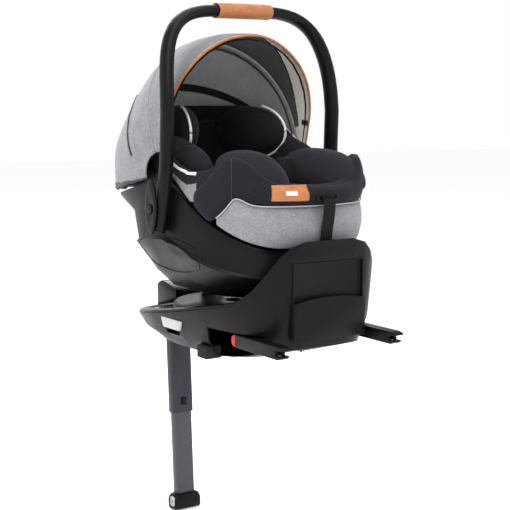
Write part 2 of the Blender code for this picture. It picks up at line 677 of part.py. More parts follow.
def build_leg():
    hinge = joint_empty("leg_hinge_axis", (0, LEG_HINGE_Y, LEG_HINGE_Z))
    width, depth = LEG_OUTER_SIZE
    radius = 0.008
    top = depth / 2 - 0.003
    inner_width = width - 2 * LEG_WALL
    inner_depth = depth - 2 * LEG_WALL
    rings = [
        rounded_rectangle(width, depth * 0.5, 0.005, top),
        rounded_rectangle(width, depth * 0.86, 0.006, top - 0.004),
        rounded_rectangle(width, depth, radius, top - 0.011),
        rounded_rectangle(width, depth, radius, -LEG_OUTER_LENGTH),
        rounded_rectangle(inner_width, inner_depth, radius - LEG_WALL, -LEG_OUTER_LENGTH),
        rounded_rectangle(inner_width, inner_depth, radius - LEG_WALL, -depth / 2),
    ]
    outer = add_object("leg_outer_tube", tilted(loft_mesh(rings)), LEG_DARK, hinge)
    bore = tilted(rod_mesh((-width, 0, 0), (width, 0, 0), LEG_PIN_RADIUS + GAP))
    cut(outer, add_object("leg_pin_bore", bore, None, hinge))
    button_low = -LEG_OUTER_LENGTH + 0.018
    pocket = tilted(box_mesh((-0.0075, -depth / 2 - 0.01, button_low - 0.0005),
                             (0.0075, -depth / 2 + 0.0028, button_low + 0.0185)))
    cut(outer, add_object("leg_button_pocket", pocket, None, hinge))
    button_holder = joint_empty("leg_button_axis", (0, LEG_HINGE_Y, LEG_HINGE_Z + button_low), hinge)
    button = tilted(box_mesh((-0.007, -depth / 2 - 0.002, button_low), (0.007, -depth / 2 + 0.001,
            button_low + 0.018), 0.001, 1))
    add_object("leg_button", button, PLASTIC_GREY, button_holder)
    slide = joint_empty("leg_slide_axis", (0, LEG_HINGE_Y, LEG_HINGE_Z - LEG_REACH), hinge)
    slip_width = inner_width - 2 * LEG_SLIP
    slip_depth = inner_depth - 2 * LEG_SLIP
    corner = radius - LEG_WALL
    wall = 0.002
    rings = [
        rounded_rectangle(slip_width, slip_depth, corner, -LEG_REACH + GAP),
        rounded_rectangle(slip_width, slip_depth, corner, -LEG_INNER_TOP),
        rounded_rectangle(slip_width - 2 * wall, slip_depth - 2 * wall, corner - wall, -LEG_INNER_TOP),
        rounded_rectangle(slip_width - 2 * wall, slip_depth - 2 * wall, corner - wall, -LEG_REACH + 0.004),
    ]
    add_object("leg_inner_tube", tilted(loft_mesh(rings)), LEG_GREY, slide)
    foot_width, foot_depth, foot_height = FOOT_SIZE
    low = -LEG_REACH - foot_height
    rings = [
        rounded_rectangle(foot_width, foot_depth, 0.009, low),
        rounded_rectangle(foot_width, foot_depth, 0.009, low + 0.6 * foot_height),
        rounded_rectangle(foot_width - 0.006, foot_depth - 0.005, 0.008, -LEG_REACH - 0.004),
        rounded_rectangle(foot_width - 0.014, foot_depth - 0.010, 0.007, -LEG_REACH),
    ]
    add_object("leg_foot", tilted(loft_mesh(rings)), PLASTIC_BLACK, slide)
    rings = [
        rounded_rectangle(foot_width - 0.004, foot_depth - 0.004, 0.008, low - SOLE_THICKNESS),
        rounded_rectangle(foot_width - 0.001, foot_depth - 0.001, 0.009, low - 0.5 * SOLE_THICKNESS),
        rounded_rectangle(foot_width - 0.001, foot_depth - 0.001, 0.009, low - GAP),
    ]
    add_object("leg_sole", tilted(loft_mesh(rings)), RUBBER, slide)


# ---------------------------------------------------------------- carrier shell
def rim_height(y):
    """Height of the shell's rim: low at the foot end, highest at the handle's hubs."""
    if y < 0:
        t = max(0.0, (y + CARRIER_FOOT) / CARRIER_FOOT)
        return RIM_FOOT + (RIM_HUB - RIM_FOOT) * min(1.0, 1.18 * t) ** 1.42
    return RIM_HEAD + (RIM_HUB - RIM_HEAD) * (1 - min(1.0, y / CARRIER_HEAD)) ** 1.5


def seat_arc_radius(x, offset=0.0):
    """Radius of the reclining surface about the seat's axis, at x."""
    share = min(0.9999, abs(x) / (SEAT_HALF_WIDTH + offset))
    return (SEAT_RADIUS + offset) * math.sqrt(1 - share ** 4)


def seat_floor(x, y, offset=0.0):
    """Height of the reclining surface, offset outwards by the given distance."""
    radius = seat_arc_radius(x, offset)
    reach = y - SEAT_AXIS_Y
    if abs(reach) >= radius:
        return SEAT_AXIS_Z
    return SEAT_AXIS_Z - math.sqrt(radius ** 2 - reach ** 2)


def carrier_outline(width_share, foot_share, head_share):
    return plan_outline(CARRIER_HALF_WIDTH * width_share, CARRIER_HEAD * head_share,
                        CARRIER_FOOT * foot_share,
                        plus_exp=(2.5, 2.5), minus_exp=(2.5, 2.5))


def carrier_ring(width_share, foot_share, head_share, level):
    """One level of the rocker; level runs from 0 at the bottom to 1 at the rim."""
    rim = carrier_outline(1.0, 1.0, 1.0)
    points = []
    for (x, y), (_, rim_y) in zip(carrier_outline(width_share, foot_share, head_share), rim):
        points.append((x, y, CARRIER_BOTTOM + (rim_height(rim_y) - CARRIER_BOTTOM) * level))
    return points


def cavity_ring(share, lift=0.0):
    """Points on the cavity that the seat reclines in, at a share of the way out to the rim."""
    points = []
    for k in range(RING):
        angle = 2 * math.pi * (k + 0.5) / RING
        direction = (math.cos(angle), math.sin(angle))
        low = 0.0
        high = 0.36
        for _ in range(24):
            middle = (low + high) / 2
            x = direction[0] * middle
            y = SEAT_AXIS_Y + direction[1] * middle
            outside = abs(x) > SEAT_HALF_WIDTH or seat_floor(x, y, SEAT_SLIDE_GAP) > rim_height(y) + lift
            if outside:
                high = middle
            else:
                low = middle
        x = direction[0] * low * share
        y = SEAT_AXIS_Y + direction[1] * low * share
        points.append((x, y, seat_floor(x, y, SEAT_SLIDE_GAP)))
    return points


def build_carrier_shell(holder):
    arm_face = (HANDLE_HALF_WIDTH - HANDLE_SECTION[0] - 0.0015) / CARRIER_HALF_WIDTH
    ledge = (LEDGE_HEIGHT - CARRIER_BOTTOM) / (RIM_HUB - CARRIER_BOTTOM)
    outer = [
        carrier_ring(0.45, 0.40, 0.15, 0.0),
        carrier_ring(0.68, 0.62, 0.27, 0.06),
        carrier_ring(0.84, 0.78, 0.40, 0.22),
        carrier_ring(0.93, 0.89, 0.52, 0.40),
        carrier_ring(1.00, 0.955, 0.60, ledge - 0.03),
        carrier_ring(arm_face, 0.965, 0.61, ledge),
        carrier_ring(arm_face, 0.985, 0.70, 0.82),
        carrier_ring(arm_face, 1.0, 0.97, 0.97),
        carrier_ring(arm_face - 0.004, 0.998, 0.985, 1.0),
    ]
    inner = [cavity_ring(1.0), cavity_ring(0.97), cavity_ring(0.88), cavity_ring(0.72), cavity_ring(0.50),
             cavity_ring(0.25)]
    shell = add_object("carrier_shell", loft_mesh(outer + inner), PLASTIC_BLACK, holder)
    for side, sign in SIDES:
        dish = bmesh.new()
        bmesh.ops.create_uvsphere(dish, u_segments=24, v_segments=12, radius=1.0)
        bmesh.ops.scale(dish, vec=(0.024, 0.105, 0.052), verts=dish.verts)
        bmesh.ops.translate(dish, vec=(sign * (CARRIER_HALF_WIDTH + 0.006), -0.085, 0.190), verts=dish.verts)
        cut(shell, add_object("side_dish_" + side, dish, None, holder))
    for end, sign in (("foot", -1), ("head", 1)):
        notch = box_mesh((-0.046, min(sign * (BAR_Y - 0.010), sign * (BAR_Y + 0.022)),
                          CARRIER_BOTTOM - 0.02),
                         (0.046, max(sign * (BAR_Y - 0.010), sign * (BAR_Y + 0.022)), BAR_HEIGHT + 0.010))
        cut(shell, add_object("dock_notch_" + end, notch, None, holder))
        hole = rod_mesh((-BAR_HALF - GAP, sign * BAR_Y, BAR_HEIGHT), (BAR_HALF + GAP, sign * BAR_Y,
                BAR_HEIGHT),
                        BAR_RADIUS + GAP, 16)
        cut(shell, add_object("dock_hole_" + end, hole, None, holder))
        bar = rod_mesh((-BAR_HALF, sign * BAR_Y, BAR_HEIGHT), (BAR_HALF, sign * BAR_Y, BAR_HEIGHT),
                       BAR_RADIUS, 16)
        add_object("dock_bar_" + end, bar, STEEL, holder)


# ---------------------------------------------------------------- handle
def handle_point(share):
    """Centre line of the handle: share runs from -1 at one arm's foot to +1 at the other's."""
    arch_rise = HANDLE_TOP - HANDLE_STRAIGHT
    arm = HANDLE_STRAIGHT - HANDLE_BOTTOM
    arch = 1.28 * (HANDLE_HALF_WIDTH + arch_rise) / 1.28
    total = arm + arch
    distance = (1 - abs(share)) * total
    side = -1 if share < 0 else 1
    if distance < arm:
        x = HANDLE_HALF_WIDTH
        z = HANDLE_BOTTOM + distance
    else:
        angle = math.pi / 2 * (distance - arm) / arch
        x = HANDLE_HALF_WIDTH * math.cos(angle) ** (2 / HANDLE_ARCH)
        z = HANDLE_STRAIGHT + arch_rise * math.sin(angle) ** (2 / HANDLE_ARCH)
    bow_low = HANDLE_BOTTOM - 0.042
    bow_span = HANDLE_TOP - bow_low + 0.029
    y = HANDLE_BOW_START - HANDLE_BOW * math.sin(math.pi * (z - bow_low) / bow_span)
    return Vector((side * x, y, z))


def handle_frame(share):
    step = 0.004
    ahead = handle_point(min(1.0, share + step))
    behind = handle_point(max(-1.0, share - step))
    along = (ahead - behind).normalized()
    depth = Vector((0, 1, 0))
    depth = (depth - along * depth.dot(along)).normalized()
    return handle_point(share), along.cross(depth), depth


def handle_section(share, grow=0.0, sides=14):
    """Oval section of the handle, grown outwards by the given distance."""
    centre, across, depth = handle_frame(share)
    points = []
    for k in range(sides):
        angle = 2 * math.pi * k / sides
        points.append(centre + across * (HANDLE_SECTION[0] + grow) * math.cos(angle)
                      + depth * (HANDLE_SECTION[1] + grow) * math.sin(angle))
    return points


def build_handle(holder):
    hinge = joint_empty("handle_axis", (0, HANDLE_PIVOT_Y, HANDLE_PIVOT_Z), holder)
    steps = 44
    rings = [handle_section(2 * k / steps - 1) for k in range(steps + 1)]
    add_object("handle_tube", loft_mesh(rings), PLASTIC_BLACK, hinge)
    reach = grip_share()
    count = 8
    inner = [handle_section(reach * (2 * k / count - 1), GRIP_FIT) for k in range(count + 1)]
    outer = [handle_section(reach * (2 * k / count - 1), GRIP_THICKNESS) for k in range(count + 1)]
    sleeve = inner + list(reversed(outer))
    add_object("leather_grip", loft_mesh(sleeve, closed=True), LEATHER, hinge)
    for side, sign in SIDES:
        face = sign * (HANDLE_HALF_WIDTH + HANDLE_SECTION[0] + GAP)
        cover = add_object("hub_cover_" + side, leaf_mesh(face, face + sign * HUB_COVER), PLASTIC_GLOSS,
                           hinge)
        centre = Vector((face, HANDLE_PIVOT_Y + 0.005, HANDLE_PIVOT_Z - 0.002))
        out = Vector((sign, 0, 0))
        hole = rod_mesh(centre - out * 0.01, centre + out * 0.02, HUB_BUTTON_RADIUS + GAP, 20)
        cut(cover, add_object("hub_hole_" + side, hole, None, hinge))
        button_holder = joint_empty("handle_button_axis_" + side, centre, hinge)
        button = rod_mesh(centre + out * 0.0025, centre + out * (HUB_COVER + 0.0020), HUB_BUTTON_RADIUS, 20)
        add_object("handle_button_" + side, button, PLASTIC_GREY, button_holder)


def grip_share():
    """Share of the centre line that the grip covers to each side of the top."""
    low = 0.0
    high = 1.0
    for _ in range(30):
        middle = (low + high) / 2
        if handle_point(middle).x < GRIP_HALF_LENGTH:
            low = middle
        else:
            high = middle
    return low


def leaf_mesh(x0, x1):
    """Pointed oval hub cover."""
    half_height = 0.058
    half_width = 0.024
    outline = []
    steps = 10
    for sign in (1, -1):
        for k in range(steps):
            t = k / steps
            z = sign * half_height * math.cos(math.pi * t)
            y = sign * half_width * math.sin(math.pi * t) ** 1.2
            outline.append((HANDLE_PIVOT_Y + 0.004 + y, HANDLE_PIVOT_Z + 0.003 + z))
    return prism_mesh(outline, x0, x1)


# ---------------------------------------------------------------- canopy
def canopy_profile(offset):
    """Half-round arch on straight sides, as (x, radius from the pivot axis)."""
    half = CANOPY_HALF_WIDTH + offset
    points = [(-half, 0.045), (-half, 0.075)]
    steps = 16
    for k in range(steps + 1):
        angle = math.pi - math.pi * k / steps
        points.append((half * math.cos(angle), CANOPY_SHOULDER + (CANOPY_ARCH + offset) * math.sin(angle)))
    points += [(half, 0.075), (half, 0.045)]
    return points


def canopy_grid(offset, start, stop, steps, bulge=0.0):
    rows = []
    for k in range(steps + 1):
        degrees = start + (stop - start) * k / steps
        angle = math.radians(degrees)
        swell = math.sin(math.pi / 2 * min(1.0, max(0.0, (degrees - CANOPY_REAR) / 36.0))) ** 2
        row = []
        for x, radius in canopy_profile(offset):
            reach = radius + bulge * swell * (radius / (CANOPY_SHOULDER + CANOPY_ARCH)) ** 2
            row.append((x, CANOPY_PIVOT_Y + reach * math.sin(angle),
                        CANOPY_PIVOT_Z + reach * math.cos(angle)))
        rows.append(row)
    return rows


def canopy_panel(offset, start, stop, steps, bulge=0.0):
    return sheet_mesh(canopy_grid(offset + CANOPY_CLOTH, start, stop, steps, bulge),
                      canopy_grid(offset, start, stop, steps, bulge))


def canopy_bow(degrees, offset=-0.0085, width=0.007):
    """Flat spring bow that follows the arch inside the cloth."""
    angle = math.degrees(width / (CANOPY_SHOULDER + CANOPY_ARCH))
    return sheet_mesh(canopy_grid(offset + 0.003, degrees, degrees + angle, 1),
                      canopy_grid(offset, degrees, degrees + angle, 1))


def build_canopy(holder):
    rear = add_object("canopy_rear", canopy_panel(2 * CANOPY_STEP, CANOPY_REAR, CANOPY_END, 9, CANOPY_BULGE),
                      FABRIC_GREY, holder)
    outline = [(-0.10, 0.0)]
    steps = 14
    for k in range(steps + 1):
        y = -0.10 + (CANOPY_END_REACH + 0.10) * k / steps
        outline.append((y, rim_height(y) + 0.004))
    outline.append((CANOPY_END_REACH, 0.0))
    below = prism_mesh(list(reversed(outline)), -0.3, 0.3)
    cut(rear, add_object("rim_clearance", below, None, holder))
    pivot = (0, CANOPY_PIVOT_Y, CANOPY_PIVOT_Z)
    middle = joint_empty("canopy_middle_axis", pivot, holder)
    add_object("canopy_middle", canopy_panel(CANOPY_STEP, CANOPY_MIDDLE + 0.3, CANOPY_REAR, 4),
               FABRIC_GREY, middle)
    add_object("canopy_middle_bow", canopy_bow(CANOPY_MIDDLE + 1.0), PLASTIC_BLACK, middle)
    front = joint_empty("canopy_front_axis", pivot, middle)
    add_object("canopy_front", canopy_panel(0.0, CANOPY_FRONT, CANOPY_MIDDLE, 4), FABRIC_GREY, front)
    add_object("canopy_front_bow", canopy_bow(CANOPY_FRONT + 1.0), PLASTIC_BLACK, front)


# ---------------------------------------------------------------- seat
def bucket_outline(inset, foot=BUCKET_FOOT, head=BUCKET_HEAD):
    return plan_outline(BUCKET_HALF_WIDTH - inset, head - inset, foot - inset, SEAT_AXIS_Y,
                        plus_exp=(2.5, 2.5), minus_exp=(2.5, 2.5))


def bucket_top(y):
    """Height of the bucket's edge: a crest beside the knees and a high back."""
    crest = 0.018 * math.exp(-((y + 0.215) / 0.045) ** 2)
    back = (SEAT_BACK_TOP - SEAT_EDGE) * min(1.0, max(0.0, (y - 0.075) / 0.10)) ** 1.3
    front = 0.022 * min(1.0, max(0.0, (-y - 0.26) / 0.05))
    return SEAT_EDGE + crest + back - front


def floor_ring(inset, share, offset):
    """Ring on the reclining surface at a share of the bucket's outline."""
    points = []
    for x, y in bucket_outline(inset):
        px = x * share
        py = SEAT_AXIS_Y + (y - SEAT_AXIS_Y) * share
        points.append((px, py, seat_floor(px, py, offset)))
    return points


def edge_ring(inset, lift):
    points = []
    for x, y in bucket_outline(inset):
        points.append((x, y, bucket_top(y) + lift))
    return points


def build_bucket(holder):
    outer = [floor_ring(0.0, share, 0.0) for share in BOWL_SHARES]
    outer.append(edge_ring(0.0, 0.0))
    inner = [edge_ring(BUCKET_WALL, 0.0)]
    inner += [floor_ring(BUCKET_WALL, share, -BUCKET_WALL) for share in reversed(BOWL_SHARES)]
    bucket = add_object("seat_bucket", loft_mesh(outer + inner), PLASTIC_BLACK, holder)
    return bucket


def arc_point(x, degrees, radius):
    """Point at an angle from straight down, towards the head, about the seat's axis."""
    angle = math.radians(degrees)
    return (x, SEAT_AXIS_Y + radius * math.sin(angle), SEAT_AXIS_Z - radius * math.cos(angle))


def arc_pad(half_width, start, stop, radius, thickness, steps=5, columns=5, centre=0.0, crown=0.35,
            shape=None):
    """Crowned pad lying on the reclining surface; shape(u, v) adds to its thickness."""
    low = []
    high = []
    for i in range(steps + 1):
        u = 2 * i / steps - 1
        lower_row = []
        upper_row = []
        for j in range(columns + 1):
            v = 2 * j / columns - 1
            x = centre + half_width * v
            degrees = start + (stop - start) * i / steps
            drop = radius - (seat_arc_radius(x, radius - SEAT_RADIUS)) if not centre else 0.0
            full = thickness * (1 - crown * max(abs(u), abs(v)) ** 3)
            if shape:
                full += shape(u, v)
            lower_row.append(arc_point(x, degrees, radius - drop))
            upper_row.append(arc_point(x, degrees, radius - drop - full))
        low.append(lower_row)
        high.append(upper_row)
    return sheet_mesh(high, low)


def build_cushion(holder):
    """Cushion layer on the bucket's inner surface."""
    shares = BOWL_SHARES[:4]
    low = [floor_ring(BUCKET_WALL, share, -BUCKET_WALL - CUSHION_FIT) for share in shares]
    top = -BUCKET_WALL - CUSHION_FIT - CUSHION_THICKNESS
    high = [floor_ring(BUCKET_WALL, share, top) for share in reversed(shares[:-1])]
    add_object("seat_cushion", loft_mesh(low + high), FABRIC_BLACK, holder)


def build_soft_seat(holder):
    insert_radius = SEAT_RADIUS - BUCKET_WALL - CUSHION_THICKNESS - INSERT_FIT

    def wings(u, v):
        hip = max(0.0, min(1.0, (0.2 - u) / 0.9))
        return (0.030 + 0.045 * hip) * max(0.0, abs(v) - 0.50) / 0.50 - 0.006

    insert = arc_pad(0.118, -34.0, 32.0, insert_radius, INSERT_THICKNESS, 7, 8, shape=wings)
    add_object("body_support_insert", insert, FABRIC_BLACK, holder)
    strap_radius = insert_radius - INSERT_THICKNESS + 0.0030
    for side, sign in SIDES:
        strap = arc_pad(0.016, 4.0, 43.0, strap_radius - PAD_GAP, 0.0018, 7, 1, sign * 0.034, 0.0)
        add_object("shoulder_strap_" + side, strap, WEBBING, holder)
        pad = arc_pad(0.024, 6.0, 31.0, strap_radius - 2 * PAD_GAP - 0.0018, 0.013, 5, 4, sign * 0.034, 0.4)
        add_object("chest_pad_" + side, pad, FABRIC_BLACK, holder)
    build_crotch_pad(holder)


def build_crotch_pad(holder):
    """Tongue that stands up between the child's legs, with the harness buckle on its inner side."""
    centre = [(CROTCH_Y, CROTCH_LOW), (CROTCH_Y - 0.014, CROTCH_LOW + 0.060),
              (CROTCH_Y - 0.022, CROTCH_HIGH - 0.055), (CROTCH_Y - 0.024, CROTCH_HIGH)]
    rings = []
    for (y, z), half_width, half_depth in zip(centre, (0.020, 0.026, 0.031, 0.022), (0.007, 0.009, 0.010,
            0.006)):
        rings.append([(x, y + depth, z) for x, depth, _ in rounded_rectangle(
            2 * half_width, 2 * half_depth, 0.8 * half_depth, 0.0, 2)])
    add_object("crotch_pad", loft_mesh(rings), FABRIC_BLACK, holder)
    face = CROTCH_Y - 0.022 + 0.0120
    middle = CROTCH_HIGH - 0.040
    buckle = box_mesh((-0.021, face, middle - 0.024), (0.021, face + 0.016, middle + 0.024), 0.004)
    body = add_object("buckle", buckle, PLASTIC_BLACK, holder)
    front = Vector((0, face + 0.016, middle))
    out = Vector((0, 1, 0))
    hole = rod_mesh(front - out * 0.005, front + out * 0.01, BUCKLE_BUTTON_RADIUS + GAP, 16)
    cut(body, add_object("buckle_hole", hole, None, holder))
    button_holder = joint_empty("buckle_button_axis", front, holder)
    button = rod_mesh(front - out * 0.0025, front + out * 0.0020, BUCKLE_BUTTON_RADIUS, 16)
    add_object("buckle_button", button, PLASTIC_RED, button_holder)


def band_mesh(outset, thickness, low_edge, high_edge, first, last):
    """Padded band around the foot end, from one outline point to another."""
    rings = []
    outer = foot_outline(outset + thickness)
    inner = foot_outline(outset)
    bulge = foot_outline(outset + 1.25 * thickness)
    for k in range(first, last + 1):
        ox, oy = outer[k]
        ix, iy = inner[k]
        bx, by = bulge[k]
        low = low_edge(oy)
        high = high_edge(oy)
        middle = (low + high) / 2
        rings.append([(ix, iy, low), (ox, oy, low + 0.002), (bx, by, middle), (ox, oy, high - 0.004),
                      (ix + 0.4 * (ox - ix), iy + 0.4 * (oy - iy), high), (ix, iy, high - 0.004)])
    return loft_mesh(rings)


def foot_outline(outset):
    return plan_outline(BUCKET_HALF_WIDTH + outset * SIDE_SHARE, BUCKET_HEAD + outset,
                        BUCKET_FOOT + outset, SEAT_AXIS_Y,
                        plus_exp=(2.5, 2.5), minus_exp=(2.5, 2.5))


def cover_seam(y):
    """Height of the seam between the foot end's dark cushion and its grey panel."""
    t = min(1.0, max(0.0, (y + 0.245) / 0.055))
    return COVER_SEAM + 0.014 * math.exp(-((y + 0.250) / 0.022) ** 2) - t * (COVER_SEAM - PANEL_CORNER)


def panel_low(y):
    return PANEL_FOOT + (PANEL_CORNER - PANEL_FOOT) * min(1.0, max(0.0, (y + 0.315) / 0.125)) ** 1.3


def build_foot_end(holder):
    outset = PAD_GAP
    last = RING - 4
    first = RING // 2 + 3
    cushion = band_mesh(outset, FOOT_PAD, lambda y: max(cover_seam(y), rim_height(y) + 0.006) + PAD_GAP,
                        lambda y: bucket_top(y) + 0.004, first, last)
    add_object("foot_cushion", cushion, FABRIC_BLACK, holder)
    first += 2
    last -= 2
    panel = band_mesh(outset, FOOT_PAD * 0.72, lambda y: panel_low(y) - 0.001,
                      lambda y: max(cover_seam(y), panel_low(y) + 0.004) - 2 * GAP, first, last)
    add_object("foot_panel", panel, FABRIC_GREY, holder)
    face = SEAT_AXIS_Y - BUCKET_FOOT - outset - 1.25 * FOOT_PAD - 0.0006
    height = (COVER_SEAM + bucket_top(face)) / 2 + 0.002
    housing = box_mesh((-0.026, face - 0.005, height - 0.007), (0.026, face, height + 0.007), 0.002)
    body = add_object("adjuster_housing", housing, PLASTIC_BLACK, holder)
    slot = box_mesh((-0.021, face - 0.009, height - 0.004), (0.021, face - 0.0015, height + 0.003))
    cut(body, add_object("adjuster_slot", slot, None, holder))
    button_holder = joint_empty("adjuster_button_axis", (0, face, height), holder)
    button = box_mesh((-0.014, face - 0.0065, height), (0.014, face - 0.0035, height + 0.0026))
    add_object("adjuster_button", button, PLASTIC_GREY, button_holder)
    path = [(face - 0.0030, height - 0.0015), (face - 0.0085, height - 0.0025), (face - 0.0105,
            height - 0.0100),
            (face - 0.0095, height - 0.0300), (face - 0.0030, height - 0.0600), (face + 0.0030,
                    height - 0.0950)]
    strap = prism_mesh(ribbon_outline(path, WEBBING_THICKNESS), -0.0145, 0.0145)
    add_object("adjuster_strap", strap, WEBBING, holder)
    grip_holder = joint_empty("recline_handle_axis", (0, face, PANEL_FOOT), holder)
    grip = box_mesh((-0.030, face + 0.012, RIM_FOOT + 0.0015), (0.030, face + 0.026, PANEL_FOOT - 0.0018),
                    0.002)
    add_object("recline_handle", grip, PLASTIC_BLACK, grip_holder)


def build_headrest(holder):
    """Headrest shell and pad; both slide up the seat back on one rail line."""
    slide = joint_empty("headrest_axis", arc_point(0.0, 73.0, HEADREST_RADIUS), holder)

    def grid(radius, half):
        rows = []
        for i in range(6):
            degrees = 55.0 + 37.0 * i / 5
            row = []
            for j in range(15):
                v = 2 * j / 14 - 1
                x = half * math.sin(v * math.pi / 2) ** 1 if abs(v) < 1 else half * v
                reach = radius - HEADREST_WING * abs(v) ** 4
                row.append(arc_point(x, degrees, reach))
            rows.append(row)
        return rows

    shell = sheet_mesh(grid(HEADREST_RADIUS - 0.005, HEADREST_HALF - 0.004), grid(HEADREST_RADIUS,
            HEADREST_HALF))
    add_object("headrest_shell", shell, PLASTIC_BLACK, slide)
    pad = sheet_mesh(grid(HEADREST_RADIUS - 0.024, HEADREST_HALF - 0.022),
                     grid(HEADREST_RADIUS - 0.006, HEADREST_HALF - 0.0055))
    add_object("headrest_pad", pad, FABRIC_BLACK, slide)


def build_carrier():
    turntable = build_turntable()
    carrier = joint_empty("carrier_axis", (0, 0, CARRIER_BOTTOM), turntable)
    build_carrier_shell(carrier)
    build_handle(carrier)
    build_canopy(carrier)
    seat = joint_empty("seat_axis", (0, SEAT_AXIS_Y, SEAT_AXIS_Z), carrier)
    build_bucket(seat)
    build_cushion(seat)
    build_soft_seat(seat)
    build_foot_end(seat)
    build_headrest(seat)


def build():
    clear_scene()
    build_lower_shell()
    build_upper_shell()
    build_storage()
    build_side_pads()
    build_spin_buttons()
    build_leg_channel()
    build_bearing()
    build_bracket()
    build_isofix()
    build_leg()
    build_carrier()


build()
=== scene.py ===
"""Looks of the infant car seat: camera, studio, materials and soft goods."""
import math

import bmesh
import bpy
from mathutils import Euler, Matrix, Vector, noise


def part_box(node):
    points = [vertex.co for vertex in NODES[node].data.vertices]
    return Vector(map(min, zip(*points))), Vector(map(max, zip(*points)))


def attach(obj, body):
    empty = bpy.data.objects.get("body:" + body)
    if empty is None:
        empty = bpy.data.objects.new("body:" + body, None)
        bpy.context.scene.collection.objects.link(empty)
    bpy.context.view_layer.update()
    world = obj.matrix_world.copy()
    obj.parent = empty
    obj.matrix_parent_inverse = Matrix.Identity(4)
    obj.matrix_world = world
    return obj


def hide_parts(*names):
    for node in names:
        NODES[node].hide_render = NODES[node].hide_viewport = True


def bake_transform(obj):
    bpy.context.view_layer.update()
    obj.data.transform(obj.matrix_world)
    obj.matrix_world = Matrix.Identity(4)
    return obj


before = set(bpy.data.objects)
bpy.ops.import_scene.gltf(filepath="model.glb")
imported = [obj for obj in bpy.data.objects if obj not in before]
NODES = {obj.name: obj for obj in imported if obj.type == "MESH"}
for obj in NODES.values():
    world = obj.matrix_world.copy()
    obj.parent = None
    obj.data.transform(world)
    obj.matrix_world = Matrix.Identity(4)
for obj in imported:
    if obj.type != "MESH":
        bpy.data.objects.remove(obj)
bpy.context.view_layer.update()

# The seat's own sizes, in metres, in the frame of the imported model.
SEAT_Y = -0.080
SEAT_Z = 0.480
SEAT_RADIUS = 0.330
BUCKET_HALF = 0.180
BUCKET_FOOT = 0.235
BUCKET_HEAD = 0.315
SEAT_EDGE = 0.378
SEAT_BACK_TOP = 0.500
FOOT_PAD = 0.017
SIDE_SHARE = 0.48
COVER_SEAM = 0.327
PANEL_CORNER = 0.292
PANEL_FOOT = 0.243
RIM_FOOT = 0.234
RIM_HUB = 0.368
RIM_HEAD = 0.312
PIVOT_Z = 0.378
CANOPY_HALF = 0.1835
SHOULDER = 0.106
ARCH = 0.190
FRONT = -13.0
MIDDLE = 20.5
REAR = 52.0
END = 116.0
BULGE = 0.066
DISH_Y = -0.032
DISH_Z = 0.210
DISH_LENGTH = 0.125
DISH_HEIGHT = 0.038
DISH_SLOPE = 0.0


# The camera, in metres, degrees and millimetres.
CAMERA_PLACE = (-1.4745, -2.28635, 0.55093)
CAMERA_PITCH = 82.45
CAMERA_YAW = -33.78
LENS = 87.19
SENSOR = 36.0


# ---------------------------------------------------------------- camera and studio
def build_stage():
    data = bpy.data.cameras.new("camera")
    data.sensor_width = SENSOR
    data.lens = LENS
    camera = bpy.data.objects.new("camera", data)
    bpy.context.scene.collection.objects.link(camera)
    camera.location = CAMERA_PLACE
    camera.rotation_euler = (math.radians(CAMERA_PITCH), 0.0, math.radians(CAMERA_YAW))
    bpy.context.scene.camera = camera

    paper, tree, bsdf = shader("studio_white", (0.85, 0.85, 0.85), 0.9)
    bsdf.inputs["Emission Color"].default_value = (1.0, 1.0, 1.0, 1.0)
    bsdf.inputs["Emission Strength"].default_value = 0.50
    floor = grid_object("studio_floor", [[(-14, -14, -0.4565), (14, -14, -0.4565)], [(-14, 14, -0.4565),
            (14, 14, -0.4565)]],
                        paper)
    world = bpy.data.worlds.new("studio")
    world.use_nodes = True
    background = world.node_tree.nodes["Background"]
    background.inputs["Strength"].default_value = 1.0
    tree = world.node_tree
    place = node(tree, "ShaderNodeTexCoord")
    split = node(tree, "ShaderNodeSeparateXYZ")
    tree.links.new(place.outputs["Generated"], split.inputs["Vector"])
    dome = mix_color(tree, ramp(tree, split.outputs["Z"], 0.20, 0.60), (1.0, 1.0, 1.0), (0.42, 0.42, 0.43))
    tree.links.new(dome, background.inputs["Color"])
    bpy.context.scene.world = world
    view = bpy.context.scene.view_settings
    view.view_transform = "Standard"
    view.look = "None"
    view.exposure = 0.0
    lamps = (("top", (-0.5, -0.6, 4.5), 4.5, 190.0), ("key", (-2.6, -1.6, 2.6), 2.2, 70.0), ("fill", (2.6,
            -2.4, 1.4), 2.4, 26.0),
             ("back", (0.8, 2.6, 2.2), 2.0, 60.0))
    for name, place, size, power in lamps:
        light = bpy.data.lights.new(name, "AREA")
        light.size = size
        light.energy = power
        lamp = bpy.data.objects.new(name, light)
        bpy.context.scene.collection.objects.link(lamp)
        lamp.location = place
        aim = Vector((0, 0, 0.25)) - Vector(place)
        lamp.rotation_euler = aim.to_track_quat("-Z", "Y").to_euler()


# ---------------------------------------------------------------- materials
def shader(name, color, rough, metal=0.0):
    mat = bpy.data.materials.new(name)
    mat.use_nodes = True
    tree = mat.node_tree
    bsdf = tree.nodes["Principled BSDF"]
    bsdf.inputs["Base Color"].default_value = (*color, 1.0)
    bsdf.inputs["Roughness"].default_value = rough
    bsdf.inputs["Metallic"].default_value = metal
    return mat, tree, bsdf


def node(tree, kind, **values):
    made = tree.nodes.new(kind)
    for key, value in values.items():
        if key in made.inputs:
            made.inputs[key].default_value = value
        else:
            setattr(made, key, value)
    return made


def coordinates(tree, scale):
    place = node(tree, "ShaderNodeTexCoord")
    mapping = node(tree, "ShaderNodeMapping")
    mapping.inputs["Scale"].default_value = scale
    tree.links.new(place.outputs["Object"], mapping.inputs["Vector"])
    return mapping.outputs["Vector"]


